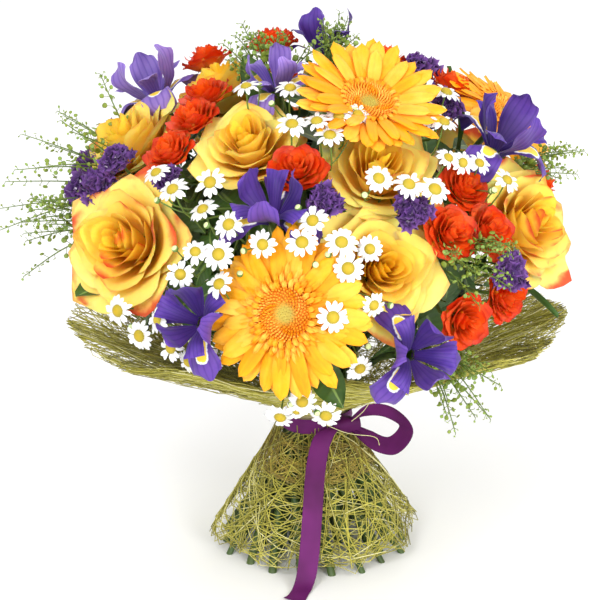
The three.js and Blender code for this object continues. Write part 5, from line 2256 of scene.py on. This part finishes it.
# The bouquet's contents. Angles are degrees, with azimuth 0 towards the viewer.

GERBERAS = (
    Gerbera("gerbera_front_low", Spot(-6, 7, 0.991, 0.12, 4, 1.1, turn=-14)),
    Gerbera("gerbera_top_right", Spot(24, 62, 0.99, 0.0, 12, 1.02, nod=-8), 13.0),
    Gerbera("gerbera_right_high", Spot(101, 40, 0.97, 0.05, 30, 0.92, turn=-32)),
    Gerbera("gerbera_back_left", Spot(-128, 12, 1.0, 0.1, 50)),
)
ROSES = (
    Rose("rose_front_left", Spot(-52, 18, 1.04, 0.05, 20, 1.02, turn=14), True),
    Rose("rose_front_right", Spot(17, 19, 0.99, 0.08, 200, 0.93, turn=4)),
    Rose("rose_centre_right", Spot(22, 48, 0.99, 0.05, 100, 0.9)),
    Rose("rose_centre_left", Spot(-29, 55, 1.0, 0.0, 300, 0.81)),
    Rose("rose_right", Spot(64, 20, 1.04, 0.08, 150, 0.95, turn=-12), True),
    Rose("rose_left_high", Spot(-87, 40, 1.03, 0.0, 40, 0.86, turn=14)),
    Rose("rose_top", Spot(-110, 65, 0.99, 0.0, 75, 0.8)),
    Rose("rose_back_right", Spot(128, 14, 0.99, 0.1, 10, 1.0), True),
    Rose("rose_back_centre", Spot(-174, 12, 1.0, 0.1, 270, 1.02)),
    Rose("rose_back_left", Spot(-142, 40, 0.98, 0.0, 120, 0.92)),
    Rose("rose_back_high", Spot(166, 47, 0.99, 0.0, 200, 0.9)),
    Rose("rose_left_low", Spot(-93, 5, 0.93, 0.15, 330, 0.86), True),
)
IRISES = (
    Iris("iris_left_top", Spot(-113, 47, 1.03, 0.25, 0, 1.0), True),
    Iris("iris_centre", Spot(-11, 34, 1.02, 0.35, 60, 0.95)),
    Iris("iris_left_low", Spot(-25, 4, 1.04, 0.3, 20, 0.95)),
    Iris("iris_right_high", Spot(65, 43, 1.06, 0.35, 35, 1.05)),
    Iris("iris_right_low", Spot(20, -4, 1.05, 0.3, 80, 0.95)),
    Iris("iris_top_left", Spot(-36, 74, 0.99, 0.0, 15, 0.8), True),
    Iris("iris_top", Spot(173, 72, 1.02, 0.0, 100, 0.9)),
    Iris("iris_back", Spot(150, 24, 1.04, 0.3, 45, 0.95)),
)
SPRAYS = (
    SprayRose("spray_rose_left", 1.0, ((-75, 63, 0.8), (-60, 56, 0.8), (-54, 45, 0.8))),
    SprayRose("spray_rose_middle", 1.02, ((-6, 46, 0.82),)),
    SprayRose("spray_rose_top_left", 1.08, ((-130, 57, 0.8), (-148, 72, 0.8))),
    SprayRose("spray_rose_top_right", 1.02, ((136, 66, 0.8), (107, 55, 0.8))),
    SprayRose("spray_rose_right", 1.0, ((45, 36, 0.82), (35, 25, 0.88), (47, 23, 0.85))),
    SprayRose("spray_rose_right_low", 0.99, ((36, -1, 0.85), (49, 3, 0.85))),
    SprayRose("spray_rose_back", 0.99, ((-166, 47, 0.8), (-110, 16, 0.85))),
    SprayRose("spray_rose_back_right", 0.99, ((102, 5, 0.85), (97, 20, 0.8))),
    Statice("statice_left", 1.0, ((-82, 22, 1.1), (-96, 24, 1.0), (-72, 27, 1.0))),
    Statice("statice_left_inner", 1.02, ((-68, 36, 0.95), (-43, 37, 0.75))),
    Statice("statice_middle", 1.02, ((2, 36, 0.85), (24, 32, 0.95))),
    Statice("statice_top_right", 1.0, ((121, 61, 1.0), (66, 57, 0.85))),
    Statice("statice_right_low", 1.03, ((46, 11, 1.0),)),
    Statice("statice_back", 1.03, ((-158, 28, 1.0), (150, 4, 1.05), (-116, 27, 0.95))),
    Chamomile(
        "chamomile_left",
        1.09,
        ((-35, 34, 1.0), (-26, 37, 1.0), (-19, 28, 1.0), (-20, 21, 1.0)),
        ((-43, 37, 0.9), (-27, 31, 0.95), (-25, 21, 0.85), (-28, 15, 0.9), (-20, 14, 0.95)),
    ),
    Chamomile(
        "chamomile_top",
        1.08,
        ((-12, 65, 0.95), (-8, 54, 1.0), (4, 51, 1.0)),
        ((0, 55, 0.95), (8, 57, 0.9), (16, 58, 0.85), (-33, 64, 0.9)),
    ),
    Chamomile(
        "chamomile_middle",
        1.1,
        ((-3, 25, 1.0), (5, 25, 1.0), (6, 19, 1.0), (3, 8, 1.0)),
        ((-1, 30, 0.95), (11, 23, 0.85), (-11, 24, 0.9)),
    ),
    Chamomile(
        "chamomile_right",
        1.1,
        ((15, 39, 0.95), (22, 37, 1.0), (49, 33, 0.9)),
        ((28, 35, 1.05), (11, 10, 0.85), (41, 40, 0.8)),
    ),
    Chamomile(
        "chamomile_top_right",
        1.07,
        ((59, 58, 1.0), (44, 51, 0.95)),
        ((45, 55, 0.9), (37, 42, 0.8), (47, 39, 0.8), (65, 69, 0.85), (55, 72, 0.85), (37, 76, 0.85)),
    ),
    Chamomile(
        "chamomile_left_low",
        1.03,
        ((-45, 1, 1.0), (-39, -4, 1.0), (-31, -5, 0.95)),
        ((-34, 2, 0.9), (-28, -9, 0.85), (-23, -8, 0.85)),
    ),
    Chamomile(
        "chamomile_low",
        1.03,
        ((-3, -17, 0.95), (2, -22, 1.0), (-8, -23, 0.95)),
        ((-4, -20, 0.8), (9, -8, 0.9)),
    ),
    Chamomile(
        "chamomile_back",
        1.08,
        ((178, 30, 1.0), (-178, 20, 1.0), (-152, -2, 1.0), (140, 36, 1.0)),
        ((172, 25, 0.9), (-172, 27, 0.9), (-158, 4, 0.85), (146, 41, 0.9)),
    ),
)
PENNYCRESSES = (
    Pennycress("pennycress_left", Spot(-90, 26, 1.26, 0.1), 15, 3),
    Pennycress("pennycress_left_low", Spot(-83, 9, 1.16, 0.05), 10, 2),
    Pennycress("pennycress_top", Spot(-96, 76, 1.16, 0.0), 16, 3),
    Pennycress("pennycress_top_right", Spot(160, 76, 1.15, 0.0), 12, 2),
    Pennycress("pennycress_right", Spot(84, 27, 1.16, 0.05), 9, 2),
    Pennycress("pennycress_right_front", Spot(38, 12, 1.15, 0.3), 9, 2),
    Pennycress("pennycress_right_low", Spot(34, -14, 1.14, -0.3), 7, 2),
)


@dataclass
class Bouquet:
    """The whole bouquet, built in the order of its sub-assemblies.

    Args:
        palette: The materials, by the names of their finishes.
    """

    palette: Palette

    FLOWERS: ClassVar[tuple[Flower, ...]] = (*GERBERAS, *ROSES, *IRISES, *SPRAYS, *PENNYCRESSES)
    FIRST_SEED = 21

    def build(self) -> None:
        """Makes every piece of the bouquet, and a stem for each flower, spray and clump."""
        for seed, flower in enumerate(self.FLOWERS, start=self.FIRST_SEED):
            flower.build(self.palette, seed)
        for part in (
            Stems([flower.stem() for flower in self.FLOWERS]),
            Foliage("foliage", 190, 5),
            Foliage("foliage_under", 70, 6, rise=(0.55, 0.99), reach=(0.4, 0.56)),
            Collar(),
            Skirt(),
            Twine(),
            Ribbon(),
        ):
            part.build(self.palette)


def aim(thing: Object, target: Triple) -> None:
    """Turns a camera or lamp so that it looks at a point, in metres."""
    way = mathutils.Vector(target) - thing.location
    thing.rotation_euler = way.to_track_quat("-Z", "Y").to_euler()


@dataclass(frozen=True)
class Lamp:
    """A soft square lamp.

    Args:
        name: Name of the lamp.
        place: Where it hangs, in metres.
        power: Its power in watts.
        side: Length of its side, in metres.
    """

    name: str
    place: Triple
    power: float
    side: float

    def build(self, target: Triple) -> None:
        """Hangs the lamp and turns it to the bouquet.

        Args:
            target: Where it points, in metres.
        """
        data = bpy.data.lights.new(self.name, "AREA")
        data.energy = self.power
        data.size = self.side
        lamp = add_object(self.name, data)
        lamp.location = self.place
        aim(lamp, target)


@dataclass
class Studio:
    """A pale floor, soft lamps and the camera at the photograph's angle.

    Args:
        elevation: Degrees that the camera looks down.
        distance: Distance from the camera to its target, in metres.
        target: What the camera looks at, in metres.
        view: Width of the view at the target, in metres.
    """

    elevation: float = 20.0
    distance: float = 1.9
    target: Triple = (0.00115, 0.009, 0.1955)
    view: float = 0.45

    SENSOR = 36.0
    FLOOR = 12000.0
    SKY = 0.9
    LAMPS = (
        Lamp("key_lamp", (-0.7, -1.7, 1.5), 26.0, 0.8),
        Lamp("fill_lamp", (1.1, -1.7, 0.8), 28.0, 1.0),
        Lamp("back_lamp", (0.4, 1.5, 1.6), 10.0, 1.2),
    )

    def camera(self) -> None:
        """Sets up the camera."""
        data = bpy.data.cameras.new("camera")
        data.sensor_width = self.SENSOR
        data.lens = self.SENSOR * self.distance / self.view
        data.clip_end = 50.0
        camera = add_object("camera", data)
        tilt = math.radians(self.elevation)
        x, y, z = self.target
        camera.location = (x, y - self.distance * math.cos(tilt), z + self.distance * math.sin(tilt))
        aim(camera, self.target)
        bpy.context.scene.camera = camera

    def floor(self) -> None:
        """Lays the floor."""
        u, v = parameters(8, 8)
        square = stack(u * self.FLOOR / 2, v * self.FLOOR - self.FLOOR / 2, 0.0)
        shape = Shape().add(square - MIDDLE, 0, u=u, v=v)
        finish = Finish("floor", Gloss(0.9, specular=0.2))
        graph = finish.graph
        finish.colour(graph.mix(graph.noise(3, 2), (0.9, 0.9, 0.9), (0.93, 0.93, 0.93)))
        piece = shape.build("floor", [finish.material])
        piece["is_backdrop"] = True

    def build(self) -> None:
        """Makes the floor, the lamps, the sky and the camera."""
        self.floor()
        for lamp in self.LAMPS:
            lamp.build(self.target)
        world = bpy.data.worlds.new("sky")
        world.use_nodes = True
        background = world.node_tree.nodes["Background"]
        background.inputs["Color"].default_value = (1.0, 1.0, 1.0, 1.0)
        background.inputs["Strength"].default_value = self.SKY
        scene = bpy.context.scene
        scene.world = world
        scene.view_settings.view_transform = "Standard"
        self.camera()


def write_sizes() -> None:
    """Reports the box of the frame and the box of the dressed bouquet in the log.
    """
    boxes = {"cad": CAD_BOX, "visual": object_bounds()}
    plain = {name: np.asarray(box, dtype=float).tolist() for name, box in boxes.items()}
    LOG.info("boxes: %s", plain)


def main() -> None:
    """Builds the studio and the bouquet, and reports the pieces."""
    logging.basicConfig(level=logging.INFO, format="%(name)s %(message)s")
    Studio().build()
    Bouquet({name: finish.material() for name, finish in FINISHES.items()}).build()
    write_sizes()


if __name__ == "__main__":
    main()
